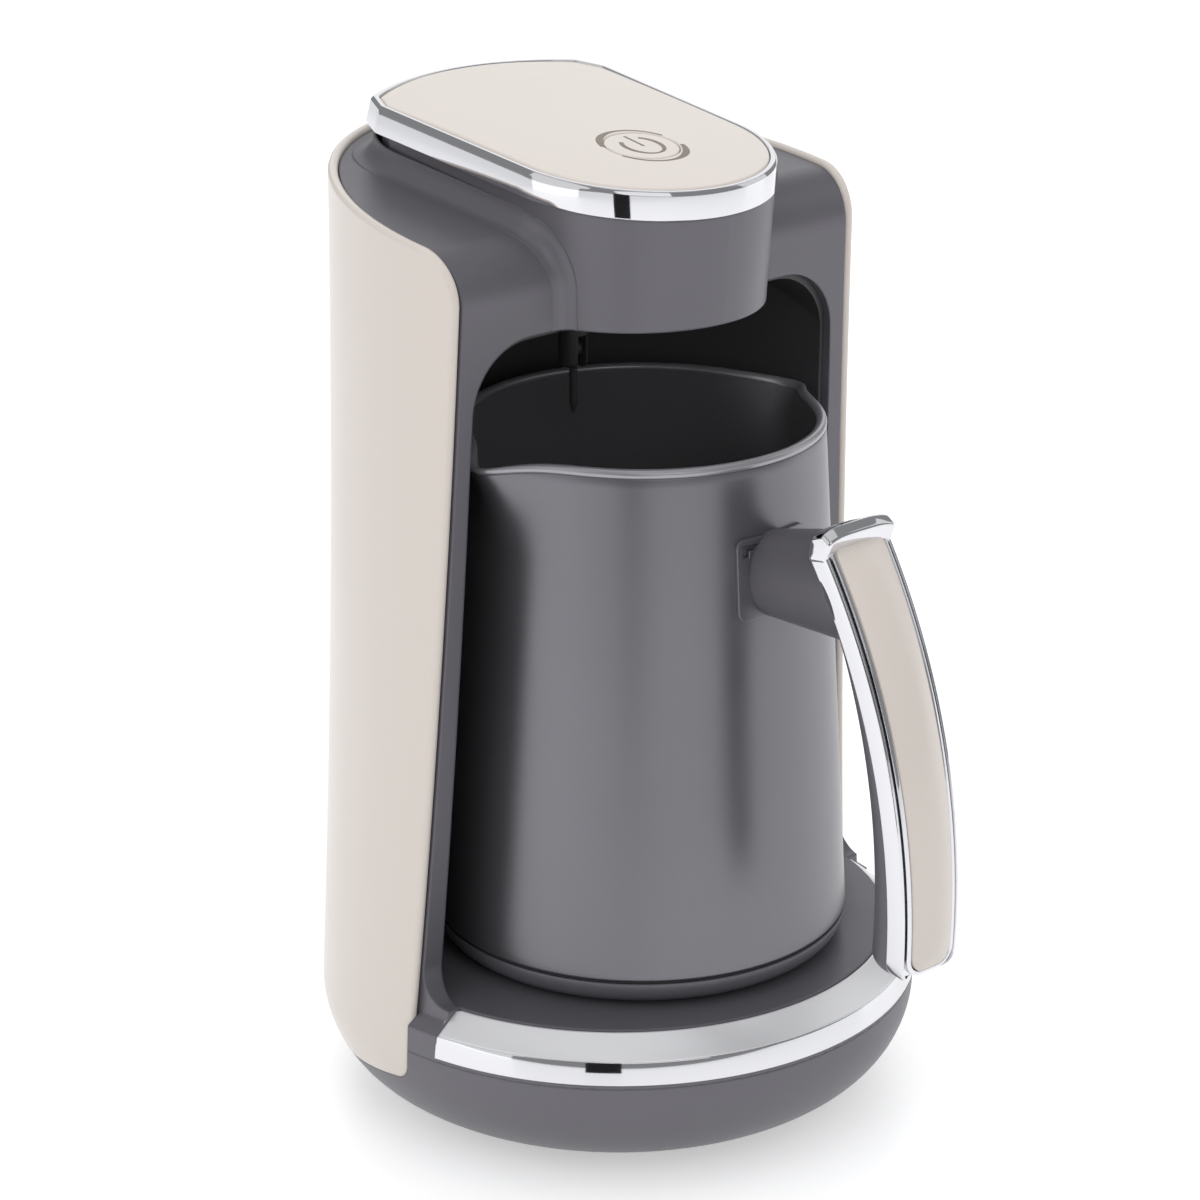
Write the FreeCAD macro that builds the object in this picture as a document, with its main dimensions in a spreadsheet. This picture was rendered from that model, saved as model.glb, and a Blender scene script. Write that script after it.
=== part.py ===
import FreeCAD, Part
import math
import os
import Sketcher
from FreeCAD import Placement, Rotation, Vector

# An electric brewer for Turkish coffee: a round base with a tall housing, a bay
# under a tilted head, and a jug with a side grip that draws out of the bay.
# Millimetres. +Z is up and the front faces -Y. The pieces are drawn round the
# middle of the base, and each finished one is then set back by base_back, so
# that the origin lies on the table under the middle of the whole depth.

doc = FreeCAD.newDocument("coffee_brewer")

DRIVING_SIZES = {
    # base
    "base_back": 15.74,
    "base_radius": 72.0,
    "foot_height": 3.0,
    "foot_radius": 7.5,
    "foot_seat": 1.2,
    "foot_reach_x": 36.0,
    "foot_reach_y": 23.0,
    "tub_round": 23.0,
    "tub_wall": 5.2,
    "seam_height": 28.5,
    "deck_height": 40.0,
    "deck_wall": 4.0,
    "trim_crest_height": 35.0,
    "trim_width": 7.0,
    "trim_lip": 1.0,
    "trim_proud": 0.5,
    # housing
    "top_half_width": 61.8,
    "flare_power": 1.8,
    "loft_top": 242.0,
    "front_offset": 6.0,
    "front_lean": 2.46,
    "foot_fillet": 8.0,
    "shoulder_height": 216.8,
    "shoulder_round": 12.0,
    "housing_wall": 2.6,
    "wrap_wall": 2.4,
    "skin_gap": 0.2,
    "fit_gap": 0.05,
    "wrap_rise": 1.0,
    "wrap_bottom_height": 19.0,
    "wrap_bottom_drop": 11.3,
    "wrap_back_height": 9.0,
    "wrap_round": 5.0,
    # bay
    "bay_wall": 7.5,
    "bay_centre": 20.0,
    "bay_margin": 6.0,
    "bay_ceiling": 195.0,
    "bay_round": 16.0,
    "liner_wall": 1.2,
    "liner_setback": 2.0,
    # head
    "head_tilt": 6.84,
    "head_half_width": 33.0,
    "head_flank": 42.0,
    "head_corner": 49.0,
    "head_corner_half": 30.0,
    "head_rear": 59.5,
    "nose_centre": 4.0,
    "nose_taper": 3.6,
    "nose_floor": 3.0,
    "head_wall": 2.8,
    "crest_height": 231.0,
    "band_height": 6.4,
    "band_wall": 2.2,
    "band_proud": 0.4,
    "plate_thickness": 2.4,
    "plate_dome": 1.1,
    # power button and what it works
    "button_radius": 8.6,
    "button_gap": 0.2,
    "button_travel": 0.8,
    "button_forward": 7.5,
    "collar_wall": 1.8,
    "collar_depth": 5.0,
    "board_depth": 15.0,
    "board_thickness": 1.6,
    "board_half_width": 25.0,
    "board_front": 24.0,
    "board_nose": 17.0,
    "board_shoulder": 8.0,
    "board_rear": 36.0,
    "post_radius": 2.6,
    "post_half_width": 19.0,
    # foam probe
    "probe_back": 16.0,
    "boss_radius": 3.7,
    "boss_reach": 4.5,
    "probe_slot": 2.6,
    "probe_radius": 0.95,
    "probe_eye": 2.2,
    "probe_eye_width": 2.0,
    "hinge_drop": 16.5,
    "hinge_pin_radius": 0.7,
    "hinge_clearance": 0.05,
    "probe_length": 15.9,
    # jug
    "jug_forward": 8.0,
    "jug_lift": 0.4,
    "jug_margin": 22.5,
    "jug_taper": 7.2,
    "jug_rim_height": 168.0,
    "jug_round": 6.0,
    "jug_seam": 46.6,
    "jug_wall": 1.6,
    "bowl_wall": 1.0,
    "bowl_gap": 0.3,
    "bowl_floor_height": 57.0,
    "lip_reach": 7.0,
    "lip_start": 128.0,
    "lip_spread": 15.0,
    "cup_wall": 2.0,
    "seal_height": 0.6,
    "heater_margin": 10.5,
    "heater_thickness": 3.0,
    "element_inset": 12.0,
    "element_radius": 3.2,
    "cup_screw_inset": 13.5,
    # power connector
    "plug_half_width": 13.0,
    "plug_bottom": 42.8,
    "plug_top": 54.4,
    "plug_reach": 2.2,
    "plug_depth": 9.0,
    "pin_radius": 1.2,
    "pin_clearance": 0.3,
    "pin_pitch": 7.5,
    "socket_half_width": 15.0,
    "socket_depth": 12.0,
    # handle
    "mount_half_width": 10.5,
    "mount_below": 9.5,
    "mount_above": 9.5,
    "mount_thickness": 1.0,
    "neck_drop": 15.0,
    "neck_half_height": 10.0,
    "neck_half_width": 7.4,
    "grip_inner_radius": 158.0,
    "grip_inner_centre": 65.1,
    "grip_inner_level": 78.0,
    "grip_outer_radius": 150.0,
    "grip_outer_centre": 45.0,
    "grip_outer_level": 72.0,
    "grip_top": 156.0,
    "grip_bottom": 58.5,
    "grip_top_half": 12.2,
    "grip_bottom_half": 9.4,
    "frame_depth": 4.8,
    "inlay_depth": 3.4,
    "inlay_side": 3.6,
    "rim_wall": 1.1,
    "groove": 0.5,
    # rear and electrics
    "gland_height": 17.0,
    "gland_radius": 5.0,
    "gland_bore": 3.6,
    "gland_flange": 7.4,
    "gland_reach": 2.4,
    "screw_radius": 1.5,
    "screw_head": 2.9,
    "boss_wall": 2.6,
    "base_screw_x": 22.0,
    "base_screw_y": 36.0,
    "board_gap": 5.0,
}

sheet = doc.addObject("Spreadsheet::Sheet", "Sizes")
for row, (alias, value) in enumerate(DRIVING_SIZES.items(), start=1):
    sheet.set(f"A{row}", alias)
    sheet.set(f"B{row}", str(value))
    sheet.setAlias(f"B{row}", alias)
doc.recompute()


class Size:
    """A length that carries its value and the sheet formula it comes from."""

    def __init__(self, value, formula=None):
        self.value = float(value)
        self.formula = formula if formula is not None else repr(float(value))

    def __add__(self, other):
        other = as_size(other)
        return Size(self.value + other.value, f"({self.formula} + {other.formula})")

    def __sub__(self, other):
        other = as_size(other)
        return Size(self.value - other.value, f"({self.formula} - {other.formula})")

    def __rsub__(self, other):
        return as_size(other) - self

    def __mul__(self, other):
        other = as_size(other)
        return Size(self.value * other.value, f"({self.formula} * {other.formula})")

    def __truediv__(self, other):
        other = as_size(other)
        return Size(self.value / other.value, f"({self.formula} / {other.formula})")

    def __pow__(self, other):
        other = as_size(other)
        return Size(self.value ** other.value, f"({self.formula} ^ {other.formula})")

    def __neg__(self):
        return Size(-self.value, f"(0 - {self.formula})")

    __radd__ = __add__
    __rmul__ = __mul__


def as_size(number):
    return number if isinstance(number, Size) else Size(number)


def tan_of(angle):
    angle = as_size(angle)
    return Size(math.tan(math.radians(angle.value)), f"tan({angle.formula})")


def cos_of(angle):
    angle = as_size(angle)
    return Size(math.cos(math.radians(angle.value)), f"cos({angle.formula})")


def sin_of(angle):
    angle = as_size(angle)
    return Size(math.sin(math.radians(angle.value)), f"sin({angle.formula})")


def root_of(number):
    return Size(math.sqrt(number.value), f"sqrt({number.formula})")


class Sizes:
    """The driving sizes, one attribute for each cell of the sheet, and those that follow from them."""


S = Sizes()
for alias, value in DRIVING_SIZES.items():
    setattr(S, alias, Size(value, f"Sizes.{alias}"))
S.trim_inner_radius = S.base_radius - S.trim_width
S.bay_depth = S.base_radius - S.bay_margin
S.jug_base_radius = S.base_radius - S.jug_margin
S.jug_rim_radius = S.jug_base_radius - S.jug_taper
S.heater_radius = S.jug_base_radius - S.heater_margin
S.element_ring = S.heater_radius - S.element_inset
S.cup_screw_reach = S.jug_base_radius - S.cup_screw_inset
S.hinge_height = S.bay_ceiling - S.hinge_drop
S.probe_tip_height = S.hinge_height - S.probe_length
S.neck_height = S.grip_top - S.neck_drop
S.mount_bottom = S.neck_height - S.mount_below
S.mount_top = S.neck_height + S.mount_above
S.board_back = S.bay_depth - S.bay_centre + S.board_gap


def bind(thing, place, size):
    """Tie a property to the sheet."""
    size = as_size(size)
    thing.setExpression(place, size.formula)


corners = {}


def set_place(thing, x=0, y=0, z=0, axis=(0, 0, 1), angle=0):
    """Put a finished thing in its place; the place follows the sheet."""
    corner = [as_size(number) for number in (x, y, z)]
    corners[thing.Name] = corner
    turn = Rotation(Vector(*axis), as_size(angle).value)
    thing.Placement = Placement(Vector(*[number.value for number in corner]), turn)
    for letter, number in zip("xyz", corner):
        bind(thing, f"Placement.Base.{letter}", number)
    return thing


class Arc:
    """A round stretch of an outline: turn +1 bends left along the way, -1 right."""

    def __init__(self, radius, turn):
        self.radius = as_size(radius)
        self.turn = turn


def new_body(name):
    body = doc.addObject("PartDesign::Body", name)
    body.Label = name
    return body


def new_sketch(body, name, role="XY_Plane", offset=0):
    """A sketch on one of the body's own planes: XY, XZ (seen from the front) or YZ."""
    sketch = body.newObject("Sketcher::SketchObject", name)
    plane = [item for item in body.Origin.OriginFeatures if item.Role == role][0]
    sketch.AttachmentSupport = [(plane, "")]
    sketch.MapMode = "FlatFace"
    offset = as_size(offset)
    sketch.AttachmentOffset = Placement(Vector(0, 0, offset.value), Rotation())
    bind(sketch, "AttachmentOffset.Base.z", offset)
    return sketch


def pin_point(sketch, rules, geometry, point, u, v):
    """Hold one end of a line or an arc, or a centre, at a place given by sizes."""
    for kind, line, number in (("DistanceX", -2, as_size(u)), ("DistanceY", -1, as_size(v))):
        if abs(number.value) < 1e-9:
            rules.append((Sketcher.Constraint("PointOnObject", geometry, point, line), None))
        else:
            rule = Sketcher.Constraint(kind, -1, 1, geometry, point, number.value)
            rules.append((rule, number))


def add_rules(sketch, rules):
    places = sketch.addConstraint([rule for rule, size in rules])
    for place, (rule, size) in zip(places, rules):
        if size is not None:
            bind(sketch, f"Constraints[{place}]", size)


def draw_outline(sketch, path):
    """Draw a closed outline through corners (u, v), with an Arc where a stretch is round."""
    points = []
    rounds = {}
    for item in path:
        if isinstance(item, Arc):
            rounds[len(points) - 1] = item
        else:
            points.append(item)
    flat = [Vector(as_size(u).value, as_size(v).value, 0) for u, v in points]
    rules = []
    first_end = []
    for index, start in enumerate(flat):
        stop = flat[(index + 1) % len(flat)]
        arc = rounds.get(index)
        if arc is None:
            geometry = sketch.addGeometry(Part.LineSegment(start, stop))
            first_end.append((geometry, 1, 2))
            continue
        chord = stop - start
        side = Vector(-chord.y, chord.x, 0).normalize() * arc.turn
        rise = math.sqrt(max(arc.radius.value ** 2 - (chord.Length / 2) ** 2, 0.0))
        centre = (start + stop) * 0.5 + side * rise
        begin, end = (start, stop) if arc.turn > 0 else (stop, start)
        angles = [math.atan2(point.y - centre.y, point.x - centre.x) for point in (begin, end)]
        if angles[1] <= angles[0]:
            angles[1] += 2 * math.pi
        circle = Part.Circle(centre, Vector(0, 0, 1), arc.radius.value)
        geometry = sketch.addGeometry(Part.ArcOfCircle(circle, angles[0], angles[1]))
        first_end.append((geometry, 1, 2) if arc.turn > 0 else (geometry, 2, 1))
        rules.append((Sketcher.Constraint("Radius", geometry, arc.radius.value), arc.radius))
    for index, (geometry, begin, end) in enumerate(first_end):
        after, after_begin, _ = first_end[(index + 1) % len(first_end)]
        rules.append((Sketcher.Constraint("Coincident", geometry, end, after, after_begin), None))
        pin_point(sketch, rules, geometry, begin, *points[index])
    add_rules(sketch, rules)
    return sketch


def draw_circle(sketch, u, v, radius):
    radius = as_size(radius)
    centre = Vector(as_size(u).value, as_size(v).value, 0)
    geometry = sketch.addGeometry(Part.Circle(centre, Vector(0, 0, 1), radius.value))
    rules = [(Sketcher.Constraint("Radius", geometry, radius.value), radius)]
    pin_point(sketch, rules, geometry, 3, u, v)
    add_rules(sketch, rules)
    return sketch


def draw_box(sketch, left, right, bottom, top):
    return draw_outline(sketch, [(left, bottom), (right, bottom), (right, top), (left, top)])


def pad(body, sketch, length, both=False, taper=None):
    feature = body.newObject("PartDesign::Pad", sketch.Name + "_pad")
    feature.Profile = sketch
    feature.Midplane = both
    bind(feature, "Length", length)
    if taper is not None:
        bind(feature, "TaperAngle", taper)
    return feature


def pocket_through(body, sketch):
    """Cut the sketch right through the solid, both ways."""
    doc.recompute()
    before = body.Shape.Volume
    feature = body.newObject("PartDesign::Pocket", sketch.Name + "_cut")
    feature.Profile = sketch
    feature.Type = "ThroughAll"
    feature.Midplane = True
    doc.recompute()
    if not body.Shape.Volume < before:
        raise ValueError(f"{sketch.Name} cuts nothing")
    return feature


def turned(name, path, sweep=360):
    """A piece turned about its own Z axis from a half section of (radius, height)."""
    body = new_body(name)
    sketch = draw_outline(new_sketch(body, name + "_section", "XZ_Plane"), path)
    feature = body.newObject("PartDesign::Revolution", name + "_turn")
    feature.Profile = sketch
    feature.ReferenceAxis = (sketch, ["V_Axis"])
    feature.Angle = sweep
    return body


def plate(name, path, base, height):
    """A flat piece: an outline in plan, from base upwards."""
    body = new_body(name)
    pad(body, draw_outline(new_sketch(body, name + "_plan", "XY_Plane", base), path), height)
    return body


def block(name, left, right, front, back, bottom, top):
    """A plain rectangular block between six faces."""
    body = new_body(name)
    sketch = draw_box(new_sketch(body, name + "_plan", "XY_Plane", bottom), left, right, front, back)
    pad(body, sketch, as_size(top) - bottom)
    return body


def disc(name, radius, bottom, top, x=0, y=0):
    """A plain round disc or rod standing on Z."""
    body = new_body(name)
    pad(body, draw_circle(new_sketch(body, name + "_plan", "XY_Plane", bottom), x, y, radius),
        as_size(top) - bottom)
    return body


def side_block(name, path, width):
    """A side view drawn as (y, z) and carried across the whole width."""
    body = new_body(name)
    pad(body, draw_outline(new_sketch(body, name + "_side", "YZ_Plane"), path), width, both=True)
    return body


def front_block(name, path, depth):
    """A front view drawn as (x, z) and carried through the whole depth."""
    body = new_body(name)
    pad(body, draw_outline(new_sketch(body, name + "_front", "XZ_Plane"), path), depth, both=True)
    return body


def cut(name, base, *tools):
    for count, tool in enumerate(tools, start=1):
        result = doc.addObject("Part::Cut", name if count == len(tools) else f"{name}_step{count}")
        result.Base = base
        result.Tool = tool
        base = result
    return base


def common(name, *shapes):
    result = doc.addObject("Part::MultiCommon", name)
    result.Shapes = list(shapes)
    return result


def fuse(name, *shapes):
    result = doc.addObject("Part::MultiFuse", name)
    result.Shapes = list(shapes)
    return result


def group(name, pieces):
    result = doc.addObject("Part::Compound", name)
    result.Links = list(pieces)
    return result


def ellipse(name, half_width, half_depth, y, z):
    """A level oval whose long way runs front to back."""
    oval = doc.addObject("Part::Ellipse", name)
    oval.MajorRadius = as_size(half_depth).value
    oval.MinorRadius = as_size(half_width).value
    bind(oval, "MajorRadius", half_depth)
    bind(oval, "MinorRadius", half_width)
    return set_place(oval, 0, y, z, (0, 0, 1), -90)


def loft(name, sections):
    result = doc.addObject("Part::Loft", name)
    result.Sections = sections
    result.Solid = True
    result.Ruled = False
    return result


# Lines and surfaces that several pieces share

LEAN = tan_of(S.front_lean)
SLOPE = tan_of(S.head_tilt)
TUB_TOP = S.foot_height + S.tub_round
TUB_FLOOR = S.foot_height + S.tub_wall
WIDE = 400


def front_y(height):
    """The front line of the side walls, which leans forward as it rises."""
    return -(S.front_offset + LEAN * height)


def half_width(height):
    """Half the housing's width: round at the base and narrower towards the top."""
    share = (S.loft_top - height) / (S.loft_top - TUB_TOP)
    return S.top_half_width + (S.base_radius - S.top_half_width) * share ** S.flare_power


def wall_form(name, inset):
    """The housing's outer form, drawn in by inset: a rounded bowl with tapering walls on it."""
    radius = S.base_radius - inset
    flat = S.base_radius - S.tub_round
    bowl = turned(name + "_bowl", [(0, S.foot_height + inset), (flat, S.foot_height + inset),
                                   Arc(S.tub_round - inset, 1), (radius, TUB_TOP), (0, TUB_TOP)])
    sections = []
    for step in (0, 12, 30, 52, 76, 100):
        height = TUB_TOP + (S.loft_top - TUB_TOP) * (step / 100)
        sections.append(ellipse(f"{name}_wall{step}", half_width(height) - inset, radius, 0, height))
    return fuse(name, bowl, loft(name + "_walls", sections))


def bay_form(name, grow, floor, ceiling):
    """The bay: an oval well with rounded upper corners, grown or shrunk by grow."""
    sections = []
    for step in range(5):
        height = floor + (ceiling - floor) * (step / 4)
        width = half_width(height) - S.bay_wall + grow
        sections.append(ellipse(f"{name}_oval{step}", width, S.bay_depth + grow, -S.bay_centre, height))
    well = loft(name + "_well", sections)
    top = half_width(ceiling) - S.bay_wall + grow
    round_start = ceiling - S.bay_round
    right = [(S.base_radius + 10, floor), (top + 1, round_start - 20), (top, round_start),
             Arc(S.bay_round, 1), (top - S.bay_round, ceiling)]
    left = [(S.bay_round - top, ceiling), Arc(S.bay_round, 1), (-top, round_start),
            (-(top + 1), round_start - 20), (-(S.base_radius + 10), floor)]
    return common(name, well, front_block(name + "_arch", right + left, WIDE))


def rounded_corner(top_height, rounding):
    """Where a rounding leaves the leaning front line and meets a line parallel to the head."""
    corner_z = (top_height - SLOPE * S.front_offset) / (1 + SLOPE * LEAN)
    corner_y = front_y(corner_z)
    reach = rounding * tan_of((90 + S.front_lean - S.head_tilt) / 2)
    low = (corner_y + reach * sin_of(S.front_lean), corner_z - reach * cos_of(S.front_lean))
    high = (corner_y + reach * cos_of(S.head_tilt), corner_z + reach * sin_of(S.head_tilt))
    return low, high


def head_outline(inset):
    """The head in plan: a half-round nose, near-straight flanks and a shallow arched back."""
    half = S.head_half_width - inset
    corner = S.head_corner_half - inset * 0.7
    flank = S.head_flank - inset * 0.3
    back = S.head_rear - inset
    corner_y = S.head_corner - inset
    sagitta = back - corner_y
    arch = (corner * corner + sagitta * sagitta) / (sagitta * 2)
    return [(-half, -S.nose_centre), Arc(half, 1), (0, -(S.nose_centre + half)), Arc(half, 1),
            (half, -S.nose_centre), (half, flank),
            (corner, corner_y), Arc(arch, 1), (-corner, corner_y), (-half, flank)]


def above_head_line(name, height):
    """Everything above a plane that is parallel to the tilted head."""
    front, back = -150, 150
    return side_block(name, [(front, height + SLOPE * front), (back, height + SLOPE * back),
                             (back, 400), (front, 400)], WIDE)


def tilted(thing):
    """Lay a piece drawn flat into the tilted plane of the head's crest."""
    return set_place(thing, 0, 0, S.crest_height, (1, 0, 0), S.head_tilt)


def tilted_down(height, y):
    """How far below the crest plane, square to it, a level height lies at y."""
    return (S.crest_height + SLOPE * y - height) * cos_of(S.head_tilt)


nodes = {}


def keep(name, thing):
    """Name a finished sub-part and set it back to stand in the common frame."""
    thing.Label = name
    nodes[name] = thing
    back = S.base_back + (corners[thing.Name][1] if thing.Name in corners else 0)
    bind(thing, "Placement.Base.y", back)
    return thing


# Shells of the wrap, the housing and the bay

wrap_outer = wall_form("wrap_outer", 0)
wrap_inner = wall_form("wrap_inner", S.wrap_wall)
housing_outer = wall_form("housing_outer", S.wrap_wall + S.skin_gap)
housing_inner = wall_form("housing_inner", S.wrap_wall + S.skin_gap + S.housing_wall)

wrap_low, wrap_high = rounded_corner(S.shoulder_height + S.wrap_rise, S.shoulder_round)
BACK = 110


def wrap_side(name, grow):
    """Side view of the wrap: leaning front, top line along the head, falling lower edge."""
    base_z = S.wrap_bottom_height + tan_of(S.wrap_bottom_drop) * S.front_offset - grow
    front_low = front_y(base_z) - grow
    return side_block(name, [
        (BACK, S.wrap_back_height - grow),
        ((S.wrap_bottom_height - S.wrap_back_height) / tan_of(S.wrap_bottom_drop),
         S.wrap_back_height - grow),
        (front_low + S.wrap_round, base_z),
        Arc(S.wrap_round, -1),
        (front_low, base_z + S.wrap_round),
        (wrap_low[0] - grow, wrap_low[1]),
        Arc(S.shoulder_round + grow, -1),
        (wrap_high[0], wrap_high[1] + grow),
        (BACK, wrap_high[1] + grow + SLOPE * (BACK - wrap_high[0])),
    ], WIDE)


gland_hole = disc("gland_hole", S.gland_radius + 0.1, 0, 40)
set_place(gland_hole, 0, S.base_radius - 20, S.gland_height, (1, 0, 0), -90)

wrap_shell = keep("wrap_shell", cut("wrap_shell", common("wrap_body", wrap_outer, wrap_side("wrap_view", 0)),
                                    wrap_inner, gland_hole))
wrap_room = wrap_side("wrap_room", S.skin_gap)


def behind_wrap(name, solid):
    """A moulding set back where the wrap covers it."""
    return fuse(name, common(name + "_back", solid, housing_outer), cut(name + "_front", solid, wrap_room))



bay = bay_form("bay", 0, S.deck_height, S.bay_ceiling)
bay_inside = bay_form("bay_inside", -S.liner_wall, S.deck_height - 5, S.bay_ceiling - S.liner_wall)
bay_grown = bay_form("bay_grown", S.housing_wall + 0.6, S.seam_height - 5, S.bay_ceiling + S.nose_floor)

# Base tub with its feet and screws

tub_flat = S.base_radius - S.tub_round
tub_inner_round = S.tub_round - S.tub_wall
tub_bowl = turned("tub_bowl", [
    (0, S.foot_height),
    (tub_flat, S.foot_height),
    Arc(S.tub_round, 1),
    (S.base_radius, TUB_TOP),
    (S.base_radius, S.seam_height),
    (S.base_radius - S.tub_wall, S.seam_height),
    (S.base_radius - S.tub_wall, TUB_TOP),
    Arc(tub_inner_round, -1),
    (tub_flat, TUB_FLOOR),
    (0, TUB_FLOOR),
])

FOOT_PLACES = [(-1, -1), (1, -1), (1, 1), (-1, 1)]
feet = []
foot_seats = []
for count, (side_x, side_y) in enumerate(FOOT_PLACES, start=1):
    edge = 1.0
    foot = turned(f"foot{count}", [
        (0, 0), (S.foot_radius - edge, 0), Arc(edge, 1), (S.foot_radius, edge),
        (S.foot_radius, S.foot_height + S.foot_seat), (0, S.foot_height + S.foot_seat),
    ])
    feet.append(set_place(foot, S.foot_reach_x * side_x, S.foot_reach_y * side_y, 0))
    seat = disc(f"foot_seat{count}", S.foot_radius, S.foot_height - 1, S.foot_height + S.foot_seat)
    foot_seats.append(set_place(seat, S.foot_reach_x * side_x, S.foot_reach_y * side_y, 0))
keep("rubber_feet", group("rubber_feet", feet))


def screw(name, head_radius, shank_radius, head_height, length):
    """A pan-head screw standing on its head at the origin, shank upwards."""
    crown = head_radius * 0.8
    return turned(name, [
        (0, 0), (crown, 0), Arc(head_radius * 0.45, 1), (head_radius, head_height * 0.7),
        (head_radius, head_height), (shank_radius, head_height),
        (shank_radius, head_height + length - shank_radius),
        (shank_radius * 0.3, head_height + length), (0, head_height + length),
    ])


SCREW_HEAD_HEIGHT = 2.0
SCREW_SINK = S.foot_height + 0.6
base_screws = []
screw_holes = []
housing_bosses = []
screw_top = S.deck_height - S.deck_wall - 6
for count, (side_x, side_y) in enumerate(FOOT_PLACES, start=1):
    place = (S.base_screw_x * side_x, S.base_screw_y * side_y)
    one = screw(f"base_screw{count}", S.screw_head, S.screw_radius, SCREW_HEAD_HEIGHT,
                screw_top - SCREW_SINK - SCREW_HEAD_HEIGHT)
    base_screws.append(set_place(one, place[0], place[1], SCREW_SINK))
    hole = turned(f"base_screw_hole{count}", [
        (0, 0), (S.screw_head + 0.4, 0), (S.screw_head + 0.4, SCREW_SINK + SCREW_HEAD_HEIGHT),
        (S.screw_radius, SCREW_SINK + SCREW_HEAD_HEIGHT),
        (S.screw_radius, screw_top), (0, screw_top),
    ])
    screw_holes.append(set_place(hole, place[0], place[1], 0))
    boss = disc(f"housing_boss{count}", S.screw_radius + S.boss_wall, TUB_FLOOR,
                S.deck_height - S.deck_wall + 1)
    housing_bosses.append(set_place(boss, place[0], place[1], 0))
keep("base_screws", group("base_screws", base_screws))
screw_holes = group("screw_holes", screw_holes)

# Cord clamp: two small pillars on the tub floor and a bridge over the cord's way
CLAMP_Y = 50.0
CLAMP_X = 9.0
clamp_posts = []
clamp_screws = []
clamp_holes = []
clamp_post_top = S.gland_height - S.gland_bore
clamp_bridge_top = S.gland_height + S.gland_bore + 3.5
for count, side in enumerate((-1, 1), start=1):
    post = disc(f"clamp_post{count}", 3.6, S.foot_height + 1, clamp_post_top)
    clamp_posts.append(set_place(post, CLAMP_X * side, CLAMP_Y - 6, 0))
    one = screw(f"clamp_screw{count}", S.screw_head, S.screw_radius, SCREW_HEAD_HEIGHT, 10)
    clamp_screws.append(set_place(one, CLAMP_X * side, CLAMP_Y - 6,
                                  clamp_bridge_top + SCREW_HEAD_HEIGHT, (1, 0, 0), 180))
    hole = disc(f"clamp_hole{count}", S.screw_radius, clamp_bridge_top - 10.5, clamp_bridge_top + 1)
    clamp_holes.append(set_place(hole, CLAMP_X * side, CLAMP_Y - 6, 0))
keep("clamp_screws", group("clamp_screws", clamp_screws))
clamp_holes = group("clamp_holes", clamp_holes)
clamp_bar = front_block("clamp_bar", [
    (-(CLAMP_X + 4), clamp_post_top), (-S.gland_bore - 1, clamp_post_top),
    (-S.gland_bore - 1, S.gland_height), Arc(S.gland_bore + 1, -1),
    (0, S.gland_height + S.gland_bore + 1), Arc(S.gland_bore + 1, -1),
    (S.gland_bore + 1, S.gland_height), (S.gland_bore + 1, clamp_post_top),
    (CLAMP_X + 4, clamp_post_top), (CLAMP_X + 4, clamp_bridge_top),
    (-(CLAMP_X + 4), clamp_bridge_top)], 8)
set_place(clamp_bar, 0, CLAMP_Y - 6, 0)
keep("cord_clamp", cut("cord_clamp", clamp_bar, clamp_holes))

tub_solid = fuse("tub_solid", tub_bowl, *clamp_posts)
keep("base_tub", cut("base_tub", behind_wrap("tub_rebated", tub_solid), group("foot_seats", foot_seats),
                     screw_holes, clamp_holes, gland_hole))

# Main housing: deck, pillars, shoulders and head in one moulding

house_low, house_high = rounded_corner(S.shoulder_height, S.shoulder_round)
fillet_top = S.deck_height + S.foot_fillet
foot_y = front_y(fillet_top) - S.foot_fillet
FRONT = -120
housing_view = side_block("housing_view", [
    (BACK, S.seam_height),
    (FRONT, S.seam_height),
    (FRONT, S.deck_height),
    (foot_y, S.deck_height),
    Arc(S.foot_fillet, 1),
    (front_y(fillet_top), fillet_top),
    house_low,
    Arc(S.shoulder_round, -1),
    house_high,
    (BACK, house_high[1] + SLOPE * (BACK - house_high[0])),
], WIDE)
deck = turned("deck_solid", [
    (0, S.seam_height), (S.base_radius, S.seam_height), (S.base_radius, S.trim_crest_height),
    (S.trim_inner_radius, S.deck_height), (0, S.deck_height),
])
housing_form = fuse("housing_form", housing_outer, cut("deck_front", deck, wrap_room))
walls = common("housing_walls", housing_form, housing_view)

head_block = new_body("head_block")
pad(head_block, draw_outline(new_sketch(head_block, "head_plan", "XY_Plane", S.bay_ceiling),
                             head_outline(2.1)), 60, taper=S.nose_taper)
BAND_FOOT = S.crest_height - (S.band_height + S.fit_gap) / cos_of(S.head_tilt)
head_solid = cut("head_solid", head_block, above_head_line("over_head", BAND_FOOT))
head_room = plate("head_room", head_outline(S.head_wall), S.bay_ceiling + S.nose_floor, 60)

trim_seat_profile = [
    (S.trim_inner_radius, S.seam_height + S.trim_lip),
    (S.base_radius + 5, S.seam_height + S.trim_lip),
    (S.base_radius + 5, S.deck_height + 5),
    (S.trim_inner_radius, S.deck_height + 5),
]
trim_seat = common("trim_seat", turned("trim_seat_ring", trim_seat_profile),
                   block("trim_seat_front", -120, 120, FRONT, foot_y, 0, 100))

rear_block = block("rear_room_block", -100, 100, 22, 100, S.seam_height - 5, S.shoulder_height - 3.5)
rear_room = common("rear_room", housing_inner, cut("rear_room_slot", rear_block, bay_grown))
under_deck = disc("under_deck", S.base_radius - 11, S.seam_height - 5, S.deck_height - S.deck_wall)

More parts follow.
